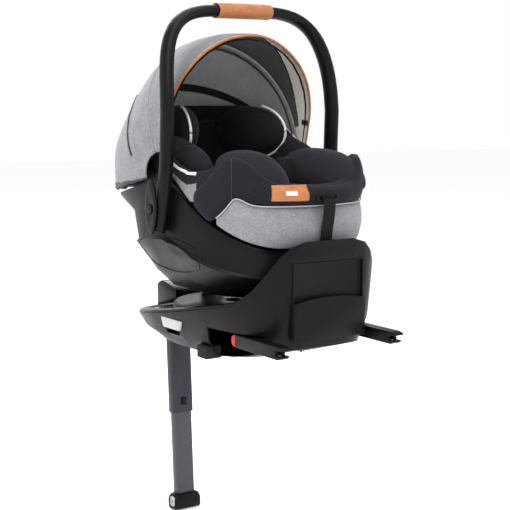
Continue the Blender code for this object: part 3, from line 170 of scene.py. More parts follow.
def noise_value(tree, scale, stretch=(1, 1, 1), detail=3.0):
    texture = node(tree, "ShaderNodeTexNoise", Scale=scale, Detail=detail, Roughness=0.6)
    tree.links.new(coordinates(tree, stretch), texture.inputs["Vector"])
    return texture.outputs["Fac"]


def math_node(tree, operation, first, second=None, clamp=False):
    made = tree.nodes.new("ShaderNodeMath")
    made.operation = operation
    made.use_clamp = clamp
    for socket, value in zip(made.inputs, (first, second)):
        if value is None:
            continue
        if isinstance(value, (int, float)):
            socket.default_value = value
        else:
            tree.links.new(value, socket)
    return made.outputs[0]


def mix_color(tree, factor, first, second):
    made = tree.nodes.new("ShaderNodeMix")
    made.data_type = "RGBA"
    for socket, value in ((made.inputs["Factor"], factor), (made.inputs["A"], first), (made.inputs["B"],
            second)):
        if isinstance(value, (int, float)):
            socket.default_value = value
        elif isinstance(value, tuple):
            socket.default_value = (*value, 1.0)
        else:
            tree.links.new(value, socket)
    return made.outputs["Result"]


def ramp(tree, value, low, high):
    made = tree.nodes.new("ShaderNodeMapRange")
    made.clamp = True
    tree.links.new(value, made.inputs["Value"])
    made.inputs["From Min"].default_value = low
    made.inputs["From Max"].default_value = high
    return made.outputs["Result"]


def bump(tree, bsdf, height, strength, distance):
    made = node(tree, "ShaderNodeBump", Strength=strength, Distance=distance)
    tree.links.new(height, made.inputs["Height"])
    tree.links.new(made.outputs["Normal"], bsdf.inputs["Normal"])


def plastic(name, color, rough, grain=0.25, spread=0.08):
    mat, tree, bsdf = shader(name, color, rough)
    fine = noise_value(tree, 900.0)
    broad = noise_value(tree, 14.0)
    tint = mix_color(tree, ramp(tree, broad, 0.3, 0.7), tuple(0.8 * c for c in color),
                     tuple(1.25 * c for c in color))
    tree.links.new(tint, bsdf.inputs["Base Color"])
    bsdf.inputs["Specular IOR Level"].default_value = 0.13
    low = max(0.05, rough - spread)
    value = math_node(tree, "MULTIPLY_ADD", ramp(tree, broad, 0.3, 0.7), 2 * spread)
    value.node.inputs[2].default_value = low
    tree.links.new(value, bsdf.inputs["Roughness"])
    bump(tree, bsdf, fine, grain, 0.0003)
    return mat


def metal(name, color, rough):
    mat, tree, bsdf = shader(name, color, rough, 1.0)
    brushed = noise_value(tree, 60.0, (1, 1, 30))
    value = math_node(tree, "MULTIPLY_ADD", brushed, 0.16)
    value.node.inputs[2].default_value = rough - 0.08
    tree.links.new(value, bsdf.inputs["Roughness"])
    bump(tree, bsdf, brushed, 0.1, 0.0002)
    return mat


def heather(tree, dark, light, contrast=0.16):
    """Mottled yarn colour: short streaks two ways over a broad cloud."""
    across = noise_value(tree, 260.0, (1, 1, 5))
    along = noise_value(tree, 240.0, (5, 1, 1))
    cloud = noise_value(tree, 22.0)
    total = math_node(tree, "ADD", across, along)
    total = math_node(tree, "MULTIPLY", total, 0.40)
    total = math_node(tree, "ADD", total, math_node(tree, "MULTIPLY", cloud, 0.20))
    return mix_color(tree, ramp(tree, total, 0.5 - contrast, 0.5 + contrast), dark, light), total


def weave_height(tree, scale):
    one = node(tree, "ShaderNodeTexWave", Scale=scale, Distortion=0.6)
    one.bands_direction = "X"
    two = node(tree, "ShaderNodeTexWave", Scale=scale, Distortion=0.6)
    two.bands_direction = "Z"
    place = coordinates(tree, (1, 1, 1))
    tree.links.new(place, one.inputs["Vector"])
    tree.links.new(place, two.inputs["Vector"])
    return math_node(tree, "MULTIPLY", one.outputs["Fac"], two.outputs["Fac"])


def woven(name, dark, light, contrast=0.16, sheen=0.2, weave=260.0):
    mat, tree, bsdf = shader(name, light, 0.95)
    tint, _ = heather(tree, dark, light, contrast)
    tree.links.new(tint, bsdf.inputs["Base Color"])
    bsdf.inputs["Sheen Weight"].default_value = sheen
    bsdf.inputs["Sheen Roughness"].default_value = 0.5
    bump(tree, bsdf, weave_height(tree, weave), 0.35, 0.0006)
    return mat


def knit(name, color, sheen_tint=(0.55, 0.50, 0.62), sheen=0.16):
    mat, tree, bsdf = shader(name, color, 0.85)
    speck = noise_value(tree, 700.0)
    cloud = noise_value(tree, 9.0)
    tint = mix_color(tree, ramp(tree, speck, 0.3, 0.7), tuple(0.7 * c for c in color),
                     tuple(1.5 * c for c in color))
    tint = mix_color(tree, ramp(tree, cloud, 0.35, 0.75), tint, tuple(1.3 * c for c in color))
    tree.links.new(tint, bsdf.inputs["Base Color"])
    bsdf.inputs["Sheen Weight"].default_value = sheen
    bsdf.inputs["Sheen Roughness"].default_value = 0.35
    bsdf.inputs["Sheen Tint"].default_value = (*sheen_tint, 1.0)
    bsdf.inputs["Specular IOR Level"].default_value = 0.15
    bump(tree, bsdf, weave_height(tree, 330.0), 0.30, 0.0006)
    return mat


def hide(name, color):
    mat, tree, bsdf = shader(name, color, 0.5)
    cells = node(tree, "ShaderNodeTexVoronoi", Scale=520.0)
    tree.links.new(coordinates(tree, (1, 1, 1)), cells.inputs["Vector"])
    cloud = noise_value(tree, 45.0)
    tint = mix_color(tree, ramp(tree, cloud, 0.3, 0.7), tuple(0.72 * c for c in color),
                     tuple(1.12 * c for c in color))
    tree.links.new(tint, bsdf.inputs["Base Color"])
    bump(tree, bsdf, cells.outputs["Distance"], 0.35, 0.0005)
    return mat


def webbing(name, color):
    mat, tree, bsdf = shader(name, color, 0.75)
    bsdf.inputs["Specular IOR Level"].default_value = 0.15
    ribs = node(tree, "ShaderNodeTexWave", Scale=420.0, Distortion=0.2)
    ribs.bands_direction = "DIAGONAL"
    tree.links.new(coordinates(tree, (1, 0.2, 1)), ribs.inputs["Vector"])
    tint = mix_color(tree, ribs.outputs["Fac"], tuple(0.6 * c for c in color), tuple(1.5 * c for c in color))
    tree.links.new(tint, bsdf.inputs["Base Color"])
    bump(tree, bsdf, ribs.outputs["Fac"], 0.4, 0.0004)
    return mat


def attribute(tree, name):
    made = tree.nodes.new("ShaderNodeAttribute")
    made.attribute_name = name
    return made.outputs["Fac"]


def lining_material():
    """Inside of the canopy: dark lining, grey panels, bands and the pale strip at the front edge."""
    mat, tree, bsdf = shader("canopy_lining", (0.1, 0.1, 0.1), 0.95)
    theta = attribute(tree, "theta")
    side = attribute(tree, "side")
    wobble = math_node(tree, "MULTIPLY", noise_value(tree, 26.0), 3.0)
    grey, _ = heather(tree, (0.30, 0.305, 0.32), (0.64, 0.65, 0.66), 0.2)
    dark, _ = heather(tree, (0.055, 0.064, 0.060), (0.125, 0.140, 0.132), 0.2)
    pale, _ = heather(tree, (0.74, 0.69, 0.62), (0.98, 0.95, 0.90), 0.2)
    black = (0.008, 0.008, 0.009)
    front_part = ramp(tree, theta, MIDDLE + 0.6, MIDDLE - 0.6)
    color = mix_color(tree, front_part, grey, dark)
    for start, stop in ((51.0, 55.5), (69.0, 71.0)):
        inside = math_node(tree, "MULTIPLY", ramp(tree, theta, start - 0.3, start + 0.3), ramp(tree,
                theta, stop + 0.3, stop - 0.3))
        color = mix_color(tree, inside, color, black)
    reach = math_node(tree, "MULTIPLY", ramp(tree, side, 0.05, 0.75), 22.0)
    edge = math_node(tree, "ADD", math_node(tree, "ADD", reach, wobble), FRONT)
    binding = math_node(tree, "ADD", edge, 1.3)
    color = mix_color(tree, math_node(tree, "LESS_THAN", theta, binding), color, black)
    color = mix_color(tree, math_node(tree, "LESS_THAN", theta, edge), color, pale)
    low = math_node(tree, "MULTIPLY", ramp(tree, side, 0.855, 0.865), front_part)
    color = mix_color(tree, low, color, pale)
    tab = math_node(tree, "MULTIPLY", ramp(tree, side, 0.815, 0.825), ramp(tree, side, 0.86, 0.85))
    tab = math_node(tree, "MULTIPLY", tab, math_node(tree, "LESS_THAN", theta, FRONT + 16.0))
    color = mix_color(tree, tab, color, black)
    tree.links.new(color, bsdf.inputs["Base Color"])
    bump(tree, bsdf, weave_height(tree, 260.0), 0.3, 0.0006)
    return mat


# ---------------------------------------------------------------- geometry
def link(name, mesh, mats, smooth=True):
    obj = bpy.data.objects.new(name, mesh)
    bpy.context.scene.collection.objects.link(obj)
    for mat in mats if isinstance(mats, (list, tuple)) else [mats]:
        mesh.materials.append(mat)
    for face in mesh.polygons:
        face.use_smooth = smooth
    return obj


def grid_object(name, rows, mats, closed=False):
    """Surface through rows of points; closed joins each row's ends."""
    bm = bmesh.new()
    verts = [[bm.verts.new(point) for point in row] for row in rows]
    columns = len(rows[0])
    for upper, lower in zip(verts, verts[1:]):
        for k in range(columns if closed else columns - 1):
            n = (k + 1) % columns
            bm.faces.new((upper[k], upper[n], lower[n], lower[k]))
    bmesh.ops.recalc_face_normals(bm, faces=bm.faces)
    mesh = bpy.data.meshes.new(name)
    bm.to_mesh(mesh)
    bm.free()
    return link(name, mesh, mats)


def solid_grid(name, outer, inner, mats):
    """Closed sheet between two matching grids; the inner faces take the second material."""
    bm = bmesh.new()
    top = [[bm.verts.new(point) for point in row] for row in outer]
    low = [[bm.verts.new(point) for point in row] for row in inner]
    rows, columns = len(outer), len(outer[0])
    for i in range(rows - 1):
        for k in range(columns - 1):
            bm.faces.new((top[i][k], top[i][k + 1], top[i + 1][k + 1], top[i + 1][k]))
            face = bm.faces.new((low[i][k], low[i + 1][k], low[i + 1][k + 1], low[i][k + 1]))
            face.material_index = 1 if len(mats) > 1 else 0
    border = [(0, k) for k in range(columns)] + [(i, columns - 1) for i in range(1, rows)]
    border += [(rows - 1, k) for k in range(columns - 2, -1, -1)] + [(i, 0) for i in range(rows - 2, 0, -1)]
    for (i, k), (n, m) in zip(border, border[1:] + border[:1]):
        bm.faces.new((top[i][k], low[i][k], low[n][m], top[n][m]))
    bmesh.ops.recalc_face_normals(bm, faces=bm.faces)
    mesh = bpy.data.meshes.new(name)
    bm.to_mesh(mesh)
    bm.free()
    return link(name, mesh, mats)


def tube(name, points, radius, mat, sides=8, flat=1.0, closed=False):
    """Round cord along points; flat scales its section's second axis."""
    rows = []
    count = len(points)
    up = Vector((0, 0, 1))
    for k, point in enumerate(points):
        ahead = Vector(points[(k + 1) % count] if closed else points[min(count - 1, k + 1)])
        behind = Vector(points[(k - 1) % count] if closed else points[max(0, k - 1)])
        along = (ahead - behind).normalized()
        side = along.cross(up)
        if side.length < 0.05:
            side = along.cross(Vector((0, 1, 0)))
        side.normalize()
        top = side.cross(along)
        rows.append([Vector(point) + side * radius * math.cos(2 * math.pi * j / sides)
                     + top * radius * flat * math.sin(2 * math.pi * j / sides) for j in range(sides)])
    bm = bmesh.new()
    verts = [[bm.verts.new(p) for p in row] for row in rows]
    pairs = list(zip(verts, verts[1:]))
    if closed:
        pairs.append((verts[-1], verts[0]))
    for one, two in pairs:
        for j in range(sides):
            n = (j + 1) % sides
            bm.faces.new((one[j], one[n], two[n], two[j]))
    if not closed:
        bm.faces.new(verts[0])
        bm.faces.new(list(reversed(verts[-1])))
    bmesh.ops.recalc_face_normals(bm, faces=bm.faces)
    mesh = bpy.data.meshes.new(name)
    bm.to_mesh(mesh)
    bm.free()
    return link(name, mesh, mat)


def baked(obj):
    """Apply the object's modifiers."""
    graph = bpy.context.evaluated_depsgraph_get()
    mesh = bpy.data.meshes.new_from_object(obj.evaluated_get(graph))
    obj.modifiers.clear()
    obj.data = mesh
    for face in mesh.polygons:
        face.use_smooth = True
    return obj


def refined(obj, levels=1):
    sub = obj.modifiers.new("refine", "SUBSURF")
    sub.levels = levels
    sub.render_levels = levels
    return baked(obj)


def inflated(name, source, mat, voxel=0.005, shrink=0.003, cap=0.010, pressure=4.0, frames=20):
    """Padded form of a mesh: remeshed, blown up as cloth and relaxed."""
    if isinstance(source, bpy.types.Object):
        mesh = source.data.copy()
        mesh.transform(source.matrix_world)
    else:
        mesh = source
    mesh.materials.clear()
    obj = link(name, mesh, mat)
    remesh = obj.modifiers.new("remesh", "REMESH")
    remesh.mode = "VOXEL"
    remesh.voxel_size = voxel
    baked(obj)
    for vertex, normal in zip(obj.data.vertices, [v.normal.copy() for v in obj.data.vertices]):
        vertex.co -= normal * shrink
    start = [v.co.copy() for v in obj.data.vertices]
    cloth = obj.modifiers.new("cloth", "CLOTH")
    settings = cloth.settings
    settings.quality = 4
    settings.mass = 0.3
    settings.use_pressure = True
    settings.uniform_pressure_force = pressure
    settings.tension_stiffness = 12
    settings.compression_stiffness = 12
    settings.shear_stiffness = 5
    settings.bending_stiffness = 0.6
    settings.effector_weights.gravity = 0.0
    cloth.point_cache.frame_start = 1
    cloth.point_cache.frame_end = frames
    scene = bpy.context.scene
    for step in range(1, frames + 1):
        scene.frame_set(step)
    graph = bpy.context.evaluated_depsgraph_get()
    swollen = obj.evaluated_get(graph).to_mesh()
    moved = [v.co.copy() for v in swollen.vertices]
    obj.evaluated_get(graph).to_mesh_clear()
    obj.modifiers.clear()
    for vertex, old, new in zip(obj.data.vertices, start, moved):
        shift = new - old
        if shift.length > cap:
            shift *= cap / shift.length
        vertex.co = old + shift
    scene.frame_set(1)
    relax = obj.modifiers.new("relax", "SMOOTH")
    relax.factor = 0.5
    relax.iterations = 6
    return refined(baked(obj), 1)


def power(value, exponent):
    return math.copysign(abs(value) ** exponent, value)


def plan_point(angle, outset):
    """Point on the seat's plan outline, outset from the bucket's outer face."""
    c, s = math.cos(angle), math.sin(angle)
    reach = (BUCKET_HEAD if s > 0 else BUCKET_FOOT) + outset
    return power(c, 0.8) * (BUCKET_HALF + outset), SEAT_Y + power(s, 0.8) * reach


def foot_point(angle, outset):
    c, s = math.cos(angle), math.sin(angle)
    reach = (BUCKET_HEAD if s > 0 else BUCKET_FOOT) + outset
    return power(c, 0.8) * (BUCKET_HALF + outset * SIDE_SHARE), SEAT_Y + power(s, 0.8) * reach


def bucket_top(y):
    crest = 0.018 * math.exp(-((y + 0.215) / 0.045) ** 2)
    back = (SEAT_BACK_TOP - SEAT_EDGE) * min(1.0, max(0.0, (y - 0.075) / 0.10)) ** 1.3
    front = 0.022 * min(1.0, max(0.0, (-y - 0.26) / 0.05))
    return SEAT_EDGE + crest + back - front


def ease(value, low, high):
    t = min(1.0, max(0.0, (value - low) / (high - low)))
    return t * t * (3 - 2 * t)


def cover_top(x, y):
    """Top of the padded cover: swollen at the foot corners and rising early towards the head."""
    corner = 0.026 * ease(abs(x), 0.09, 0.165) * ease(-y, 0.16, 0.27)
    rise = SEAT_EDGE + 0.004 + 0.125 * ease(y, -0.10, 0.16)
    return max(bucket_top(y), rise * ease(y, -0.14, -0.10)) + corner


def rim_height(y):
    if y < 0:
        t = max(0.0, (y + 0.310) / 0.310)
        return RIM_FOOT + (RIM_HUB - RIM_FOOT) * min(1.0, 1.18 * t) ** 1.42
    return RIM_HEAD + (RIM_HUB - RIM_HEAD) * (1 - min(1.0, y / 0.340)) ** 1.5


def cover_seam(y):
    t = min(1.0, max(0.0, (y + 0.245) / 0.055))
    return COVER_SEAM + 0.014 * math.exp(-((y + 0.250) / 0.022) ** 2) - t * (COVER_SEAM - PANEL_CORNER)


def panel_low(y):
    return PANEL_FOOT + (PANEL_CORNER - PANEL_FOOT) * min(1.0, max(0.0, (y + 0.315) / 0.125)) ** 1.3


def seat_floor(x, y, offset):
    half = 0.185 + offset
    share = min(0.9999, abs(x) / half)
    radius = (SEAT_RADIUS + offset) * math.sqrt(1 - share ** 4)
    reach = y - SEAT_Y
    if abs(reach) >= radius:
        return SEAT_Z
    return SEAT_Z - math.sqrt(radius ** 2 - reach ** 2)


# ---------------------------------------------------------------- canopy
def canopy_offset(theta):
    t = min(1.0, max(0.0, (theta - FRONT) / (60.0 - FRONT)))
    return 0.003 + 0.009 * t


def canopy_point(theta, share, depth=0.0):
    """Point on the canopy: share runs from -1 over the top to +1, and depth goes inwards."""
    offset = canopy_offset(theta) - depth
    half = CANOPY_HALF + offset
    side = abs(share)
    knee = 0.83
    if side < knee:
        alpha = math.pi / 2 * (1 - side / knee)
        x = half * math.cos(alpha)
        radius = SHOULDER + (ARCH + offset) * math.sin(alpha)
    else:
        x = half
        radius = SHOULDER - (side - knee) / (1 - knee) * 0.060
    x = math.copysign(x, share)
    swell = math.sin(math.pi / 2 * min(1.0, max(0.0, (theta - REAR) / 36.0))) ** 2
    radius += BULGE * swell * (radius / (SHOULDER + ARCH)) ** 2
    for low, high, sag in ((FRONT, MIDDLE, 0.0035), (MIDDLE, REAR + 4, 0.0045)):
        if low < theta < high:
            radius -= sag * math.sin(math.pi * (theta - low) / (high - low)) ** 2 * max(0.0, 1 - side)
    crease = noise.noise(Vector((share * 6.0, theta * 0.11, 3.1)))
    radius += 0.0020 * crease * max(0.0, 1 - abs(theta - FRONT - 4) / 400)
    angle = math.radians(theta)
    return Vector((x, radius * math.sin(angle), PIVOT_Z + radius * math.cos(angle)))


def lower_limit(share, start):
    """Largest angle at which the cloth still clears the shell's rim."""
    theta = start
    while theta < END:
        point = canopy_point(theta + 1.0, share)
        if point.z < rim_height(point.y) + 0.008 and theta > 70:
            break
        theta += 1.0
    return min(theta, END)


def canopy_sheet(name, start, stop, rows, columns, mats, weights):
    outer, inner, angles, sides = [], [], [], []
    for i in range(rows + 1):
        upper, lower = [], []
        for k in range(columns + 1):
            share = 2 * k / columns - 1
            end = stop if stop is not None else lower_limit(share, start)
            theta = start + (end - start) * i / rows
            upper.append(canopy_point(theta, share))
            lower.append(canopy_point(theta, share, 0.0024))
            angles.append(theta)
            sides.append(abs(share))
        outer.append(upper)
        inner.append(lower)
    obj = solid_grid(name, outer, inner, mats)
    for label, values in (("theta", angles), ("side", sides)):
        layer = obj.data.attributes.new(label, "FLOAT", "POINT")
        layer.data.foreach_set("value", values + values)
    low, high = weights
    start_point = canopy_point(high, 0.0)
    end_point = canopy_point(low, 0.0)
    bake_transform(obj)
    share = [min(1.0, max(0.0, (high - angle) / (high - low))) for angle in angles]
    share = [w * w * (3 - 2 * w) for w in share]
    return obj


def arc_points(theta, depth, count=60, reach=1.0):
    return [canopy_point(theta, reach * (2 * k / count - 1), depth) for k in range(count + 1)]


def build_canopy(mats):
    columns = 88
    outside, inside = mats["heather"], mats["lining"]
    rear = canopy_sheet("canopy_shade_rear", MIDDLE, None, 40, columns, [outside, inside],
                        (MIDDLE, 58.0))
    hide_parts("canopy_rear", "canopy_middle")
    front = canopy_sheet("canopy_shade_front", FRONT, MIDDLE, 18, columns, [outside, inside],
                         (FRONT + 1, MIDDLE))
    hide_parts("canopy_front")

    rows = []
    for k in range(81):
        share = 2 * k / 80 - 1
        ring = []
        for theta, depth in ((FRONT - 0.7, -0.0006), (FRONT + 0.5, -0.0012), (FRONT + 0.5, 0.0002),
                             (FRONT + 0.1, 0.0012), (FRONT + 0.5, 0.0024), (FRONT + 0.5, 0.0036),
                             (FRONT - 0.7, 0.0030)):
            ring.append(canopy_point(theta, share, depth))
        rows.append(ring)
    trim = grid_object("canopy_edge_trim", rows, mats["leather"], closed=True)
    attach(trim, "canopy_front")
    for name, theta, body, radius in (("canopy_seam_middle", MIDDLE, "canopy_middle", 0.0016),
                                      ("canopy_seam_front", FRONT + 2.6, "canopy_front", 0.0006)):
        seam = tube(name, arc_points(theta, -0.0002, 80), radius, mats["thread"], 6)
        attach(seam, body)
    seam = tube("canopy_seam_rear", arc_points(REAR + 6, 0.0, 80), 0.0010, mats["thread"], 6)
    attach(seam, "carrier")
    rows = []
    for k in range(81):
        share = 2 * k / 80 - 1
        end = lower_limit(share, MIDDLE)
        rows.append([canopy_point(end - drop, share, depth) for drop, depth in
                     ((2.6, -0.0012), (0.0, -0.0012), (-0.5, 0.0012), (0.0, 0.0036), (2.6, 0.0036))])
    hem = grid_object("canopy_lower_hem", rows, mats["binding"], closed=True)
    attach(hem, "carrier")
    for side, sign in (("left", -1), ("right", 1)):
        rows = []
        for k in range(25):
            t = k / 24
            theta = 46.0 + 27.0 * t
            share = sign * (0.46 + 0.36 * t + 0.05 * math.sin(math.pi * t))
            half = 0.012
            rows.append([canopy_point(theta, share - half, -0.0006), canopy_point(theta, share - half,
                    -0.0022),
                         canopy_point(theta, share + half, -0.0022), canopy_point(theta, share + half,
                                 -0.0006)])
        strip = grid_object("canopy_vent_strip_" + side, rows, mats["binding"], closed=True)
        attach(strip, "carrier")


# ---------------------------------------------------------------- seat cover
def ring_angles(count, first=0.0, last=2 * math.pi):
    return [first + (last - first) * k / count for k in range(count + 1)]


def build_cover(mats):
    """Padded cover that lines the bucket and rolls over its edge."""
    rows = []
    count = 120
    for angle in ring_angles(count)[:-1]:
        row = []
        wave = 0.0012 * noise.noise(Vector((math.cos(angle) * 4, math.sin(angle) * 4, 0.3)))
        for outset, drop in ((0.0012, -0.030), (0.0030, -0.014), (0.0036, -0.002), (0.0022, 0.007),
                             (-0.004, 0.0105),
                             (-0.011, 0.0080), (-0.0170, 0.000), (-0.0185, -0.014), (-0.0165, -0.034)):
            x, y = plan_point(angle, outset + wave)
            row.append((x, y, cover_top(x, y) + drop))
        for share in (1.0, 0.94, 0.84, 0.70, 0.55, 0.40, 0.26):
            x, y = plan_point(angle, -0.0155)
            x, y = x * share, SEAT_Y + (y - SEAT_Y) * share
            row.append((x, y, min(seat_floor(x, y, -0.0155), cover_top(x, y) - 0.036)))
        rows.append(row)
    rows.append(rows[0])
    cover = grid_object("seat_cover", rows, mats["knit"])
    weld = cover.modifiers.new("weld", "WELD")
    weld.merge_threshold = 0.00005
    baked(cover)
    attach(cover, "seat")
    for side, first, last in (("left", math.pi + 0.17, math.pi - 0.62), ("right", -0.17, 0.62)):
        points = []
        for angle in ring_angles(30, first, last):
            x, y = plan_point(angle, 0.0035)
            points.append((x, y, cover_top(x, y) + 0.0065))
        piping = tube("seat_edge_piping_" + side, points, 0.0030, mats["piping"])
        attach(piping, "seat")
        rows = []
        short = math.pi - 0.13 if side == "left" else 0.13
        for angle in ring_angles(24, first, short):
            x, y = plan_point(angle, 0.0030)
            top = cover_top(x, y) + 0.004
            low = min(top - 0.006, max(rim_height(y) + 0.006, top - 0.055))
            rows.append([(x, y, top + (low - top) * k / 6) for k in range(7)])
        skirt = grid_object("seat_side_panel_" + side, rows, mats["heather"])
        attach(skirt, "seat")


def band(name, first, last, low_edge, high_edge, thickness, mat, puff, rows_count=None):
    """Padded band round the foot end."""
    rows_count = rows_count or (90)
    rows = []
    profile = []
    steps = 14
    for k in range(steps + 1):
        t = k / steps
        profile.append((t, math.sin(math.pi * t) ** 0.55))
    for angle in ring_angles(rows_count, first, last):
        row = []
        low, high = low_edge(angle), high_edge(angle)
        taper = min(1.0, 9 * min(angle - first, last - angle) + 0.25)
        for t, crown in profile:
            z = low + (high - low) * t
            wrinkle = 0.0011 * noise.noise(Vector((angle * 7, z * 38, 1.7)))
            outset = 0.0012 + (thickness * (0.30 + 0.70 * crown) + puff * crown ** 2 + wrinkle) * taper
            x, y = foot_point(angle, outset)
            row.append((x, y, z))
        x, y = foot_point(angle, -0.004)
        row.append((x, y, high + 0.001))
        x, y = foot_point(angle, 0.0008)
        row.insert(0, (x, y, low))
        rows.append(row)
    obj = grid_object(name, rows, mat)
    return obj


def wrap_high(angle):
    x, y = foot_point(angle, 0.0)
    full = cover_top(x, y) + 0.008
    return full - 0.045 * ease(y, -0.23, -0.09)


def wrap_low(angle):
    _, y = foot_point(angle, 0.0005 + FOOT_PAD)
    return max(cover_seam(y), rim_height(y) + 0.007)


def panel_bottom(angle):
    _, y = foot_point(angle, 0.0005 + FOOT_PAD)
    return panel_low(y)


def panel_top(angle):
    _, y = foot_point(angle, 0.0005 + FOOT_PAD)
    return max(cover_seam(y), panel_low(y) + 0.004) - 0.0005


def build_foot_end(mats):
    first = math.pi * (1 + 1 / 24.0)
    last = math.pi * (2 - 1 / 24.0)
    wrap = band("foot_wrap_cushion", first, last, wrap_low, wrap_high, FOOT_PAD, mats["knit"], 0.0030)
    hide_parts("foot_cushion")
    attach(wrap, "seat")
    first_panel = math.pi * (1 + 3.2 / 24.0)
    last_panel = math.pi * (2 - 3.2 / 24.0)
    panel = band("foot_grey_panel", first_panel, last_panel, panel_bottom, panel_top, FOOT_PAD * 0.78,
                 mats["heather"],
                 0.0015)
    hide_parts("foot_panel")
    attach(panel, "seat")
    points = []
    for angle in ring_angles(80, first_panel, last_panel):
        x, y = foot_point(angle, 0.0010 + FOOT_PAD * 0.72)
        points.append((x, y, panel_top(angle)))
    piping = tube("foot_panel_piping", points, 0.0012, mats["thread_light"])
    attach(piping, "seat")
    for side, angle in (("left", math.pi * (1 + 4.6 / 24.0)), ("right", math.pi * (2 - 4.6 / 24.0))):
        low, high = wrap_low(angle), wrap_high(angle)
        points = []
        for k in range(20):
            t = 0.02 + 0.97 * k / 19
            crown = math.sin(math.pi * t) ** 0.55
            x, y = foot_point(angle, 0.0014 + FOOT_PAD * (0.30 + 0.70 * crown) + 0.0030 * crown ** 2)
            points.append((x, y, low + (high - low) * t))
        seam = tube("foot_wrap_seam_" + side, points, 0.0009, mats["binding"], 6)
        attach(seam, "seat")
    build_patches(mats)


def wrap_surface(x, z, lift):
    """Point on the front of the foot wrap at x and z."""
    low_angle, high_angle = math.pi * 1.05, math.pi * 1.95
    for _ in range(40):
        middle = (low_angle + high_angle) / 2
        px, y = foot_point(middle, FOOT_PAD)
        if px < x:
            low_angle = middle
        else:
            high_angle = middle
    angle = (low_angle + high_angle) / 2
    low, high = wrap_low(angle), wrap_high(angle)
    t = min(0.98, max(0.02, (z - low) / (high - low)))
    crown = math.sin(math.pi * t) ** 0.55
    x, y = foot_point(angle, 0.0012 + FOOT_PAD * (0.30 + 0.70 * crown) + 0.0030 * crown ** 2 + lift)
    return (x, y, z)


def patch(name, x0, x1, z0, z1, lift, mat, thick=0.0012, columns=16, rows=8, skew=0.0):
    outer, inner = [], []
    for i in range(rows + 1):
        z = z0 + (z1 - z0) * i / rows
        upper, lower = [], []
        for k in range(columns + 1):
            x = x0 + (x1 - x0) * k / columns + skew * (i / rows - 0.5)
            upper.append(wrap_surface(x, z, lift + thick))
            lower.append(wrap_surface(x, z, lift - 0.0004))
        outer.append(upper)
        inner.append(lower)
    obj = solid_grid(name, outer, inner, [mat])
    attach(obj, "seat")
    return obj


def build_patches(mats):
    label = patch("leather_label", -0.110, -0.040, 0.3375, 0.3690, 0.0006, mats["leather"])
    stitches = []
    corners = ((-0.1065, 0.3400), (-0.0435, 0.3400), (-0.0435, 0.3665), (-0.1065, 0.3665))
    for (xa, za), (xb, zb) in zip(corners, corners[1:] + corners[:1]):
        steps = max(2, int(math.hypot(xb - xa, zb - za) / 0.0030))
        for k in range(steps):
            a, b = k / steps, (k + 0.6) / steps
            ends = [wrap_surface(xa + (xb - xa) * t, za + (zb - za) * t, 0.0019) for t in (a, b)]
            stitches.append(ends)
    sew("label_stitching", stitches, 0.00035, mats["thread_tan"], "seat")
    mark = patch("label_mark", -0.086, -0.064, 0.3490, 0.3575, 0.0019, mats["white"], 0.0003, 10, 4)


def sew(name, stitches, radius, mat, body):
    """Short raised stitches, joined in one mesh."""
    bm = bmesh.new()
    for start, stop in stitches:
        start, stop = Vector(start), Vector(stop)
        along = (stop - start)
        if along.length < 1e-6:
            continue
        along.normalize()
        side = along.cross(Vector((0, 1, 0.3))).normalized()
        top = side.cross(along)
        ends = []
        for point in (start, stop):
            ends.append([bm.verts.new(point + side * radius * math.cos(a) + top * radius * math.sin(a))
                         for a in (0, math.pi / 2, math.pi, 3 * math.pi / 2)])
        for j in range(4):
            n = (j + 1) % 4
            bm.faces.new((ends[0][j], ends[0][n], ends[1][n], ends[1][j]))
        bm.faces.new(ends[0])
        bm.faces.new(list(reversed(ends[1])))
    bmesh.ops.recalc_face_normals(bm, faces=bm.faces)
    mesh = bpy.data.meshes.new(name)
    bm.to_mesh(mesh)
    bm.free()
    obj = link(name, mesh, mat)
    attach(obj, body)
    return obj


def blob_mesh(centre, radii, power_exp=2.4, tilt=(0.0, 0.0, 0.0), shape=None):
    """Rounded cushion form; shape bends each point."""
    bm = bmesh.new()
    bmesh.ops.create_icosphere(bm, subdivisions=4, radius=1.0)
    turn = Euler([math.radians(a) for a in tilt]).to_matrix()
    for vertex in bm.verts:
        d = vertex.co.normalized()
        scale = (abs(d.x) ** power_exp + abs(d.y) ** power_exp + abs(d.z) ** power_exp) ** (-1 / power_exp)
        p = Vector((d.x * scale * radii[0], d.y * scale * radii[1], d.z * scale * radii[2]))
        if shape:
            p = shape(p)
        vertex.co = turn @ p + Vector(centre)
    mesh = bpy.data.meshes.new("form")
    bm.to_mesh(mesh)
    bm.free()
    return mesh


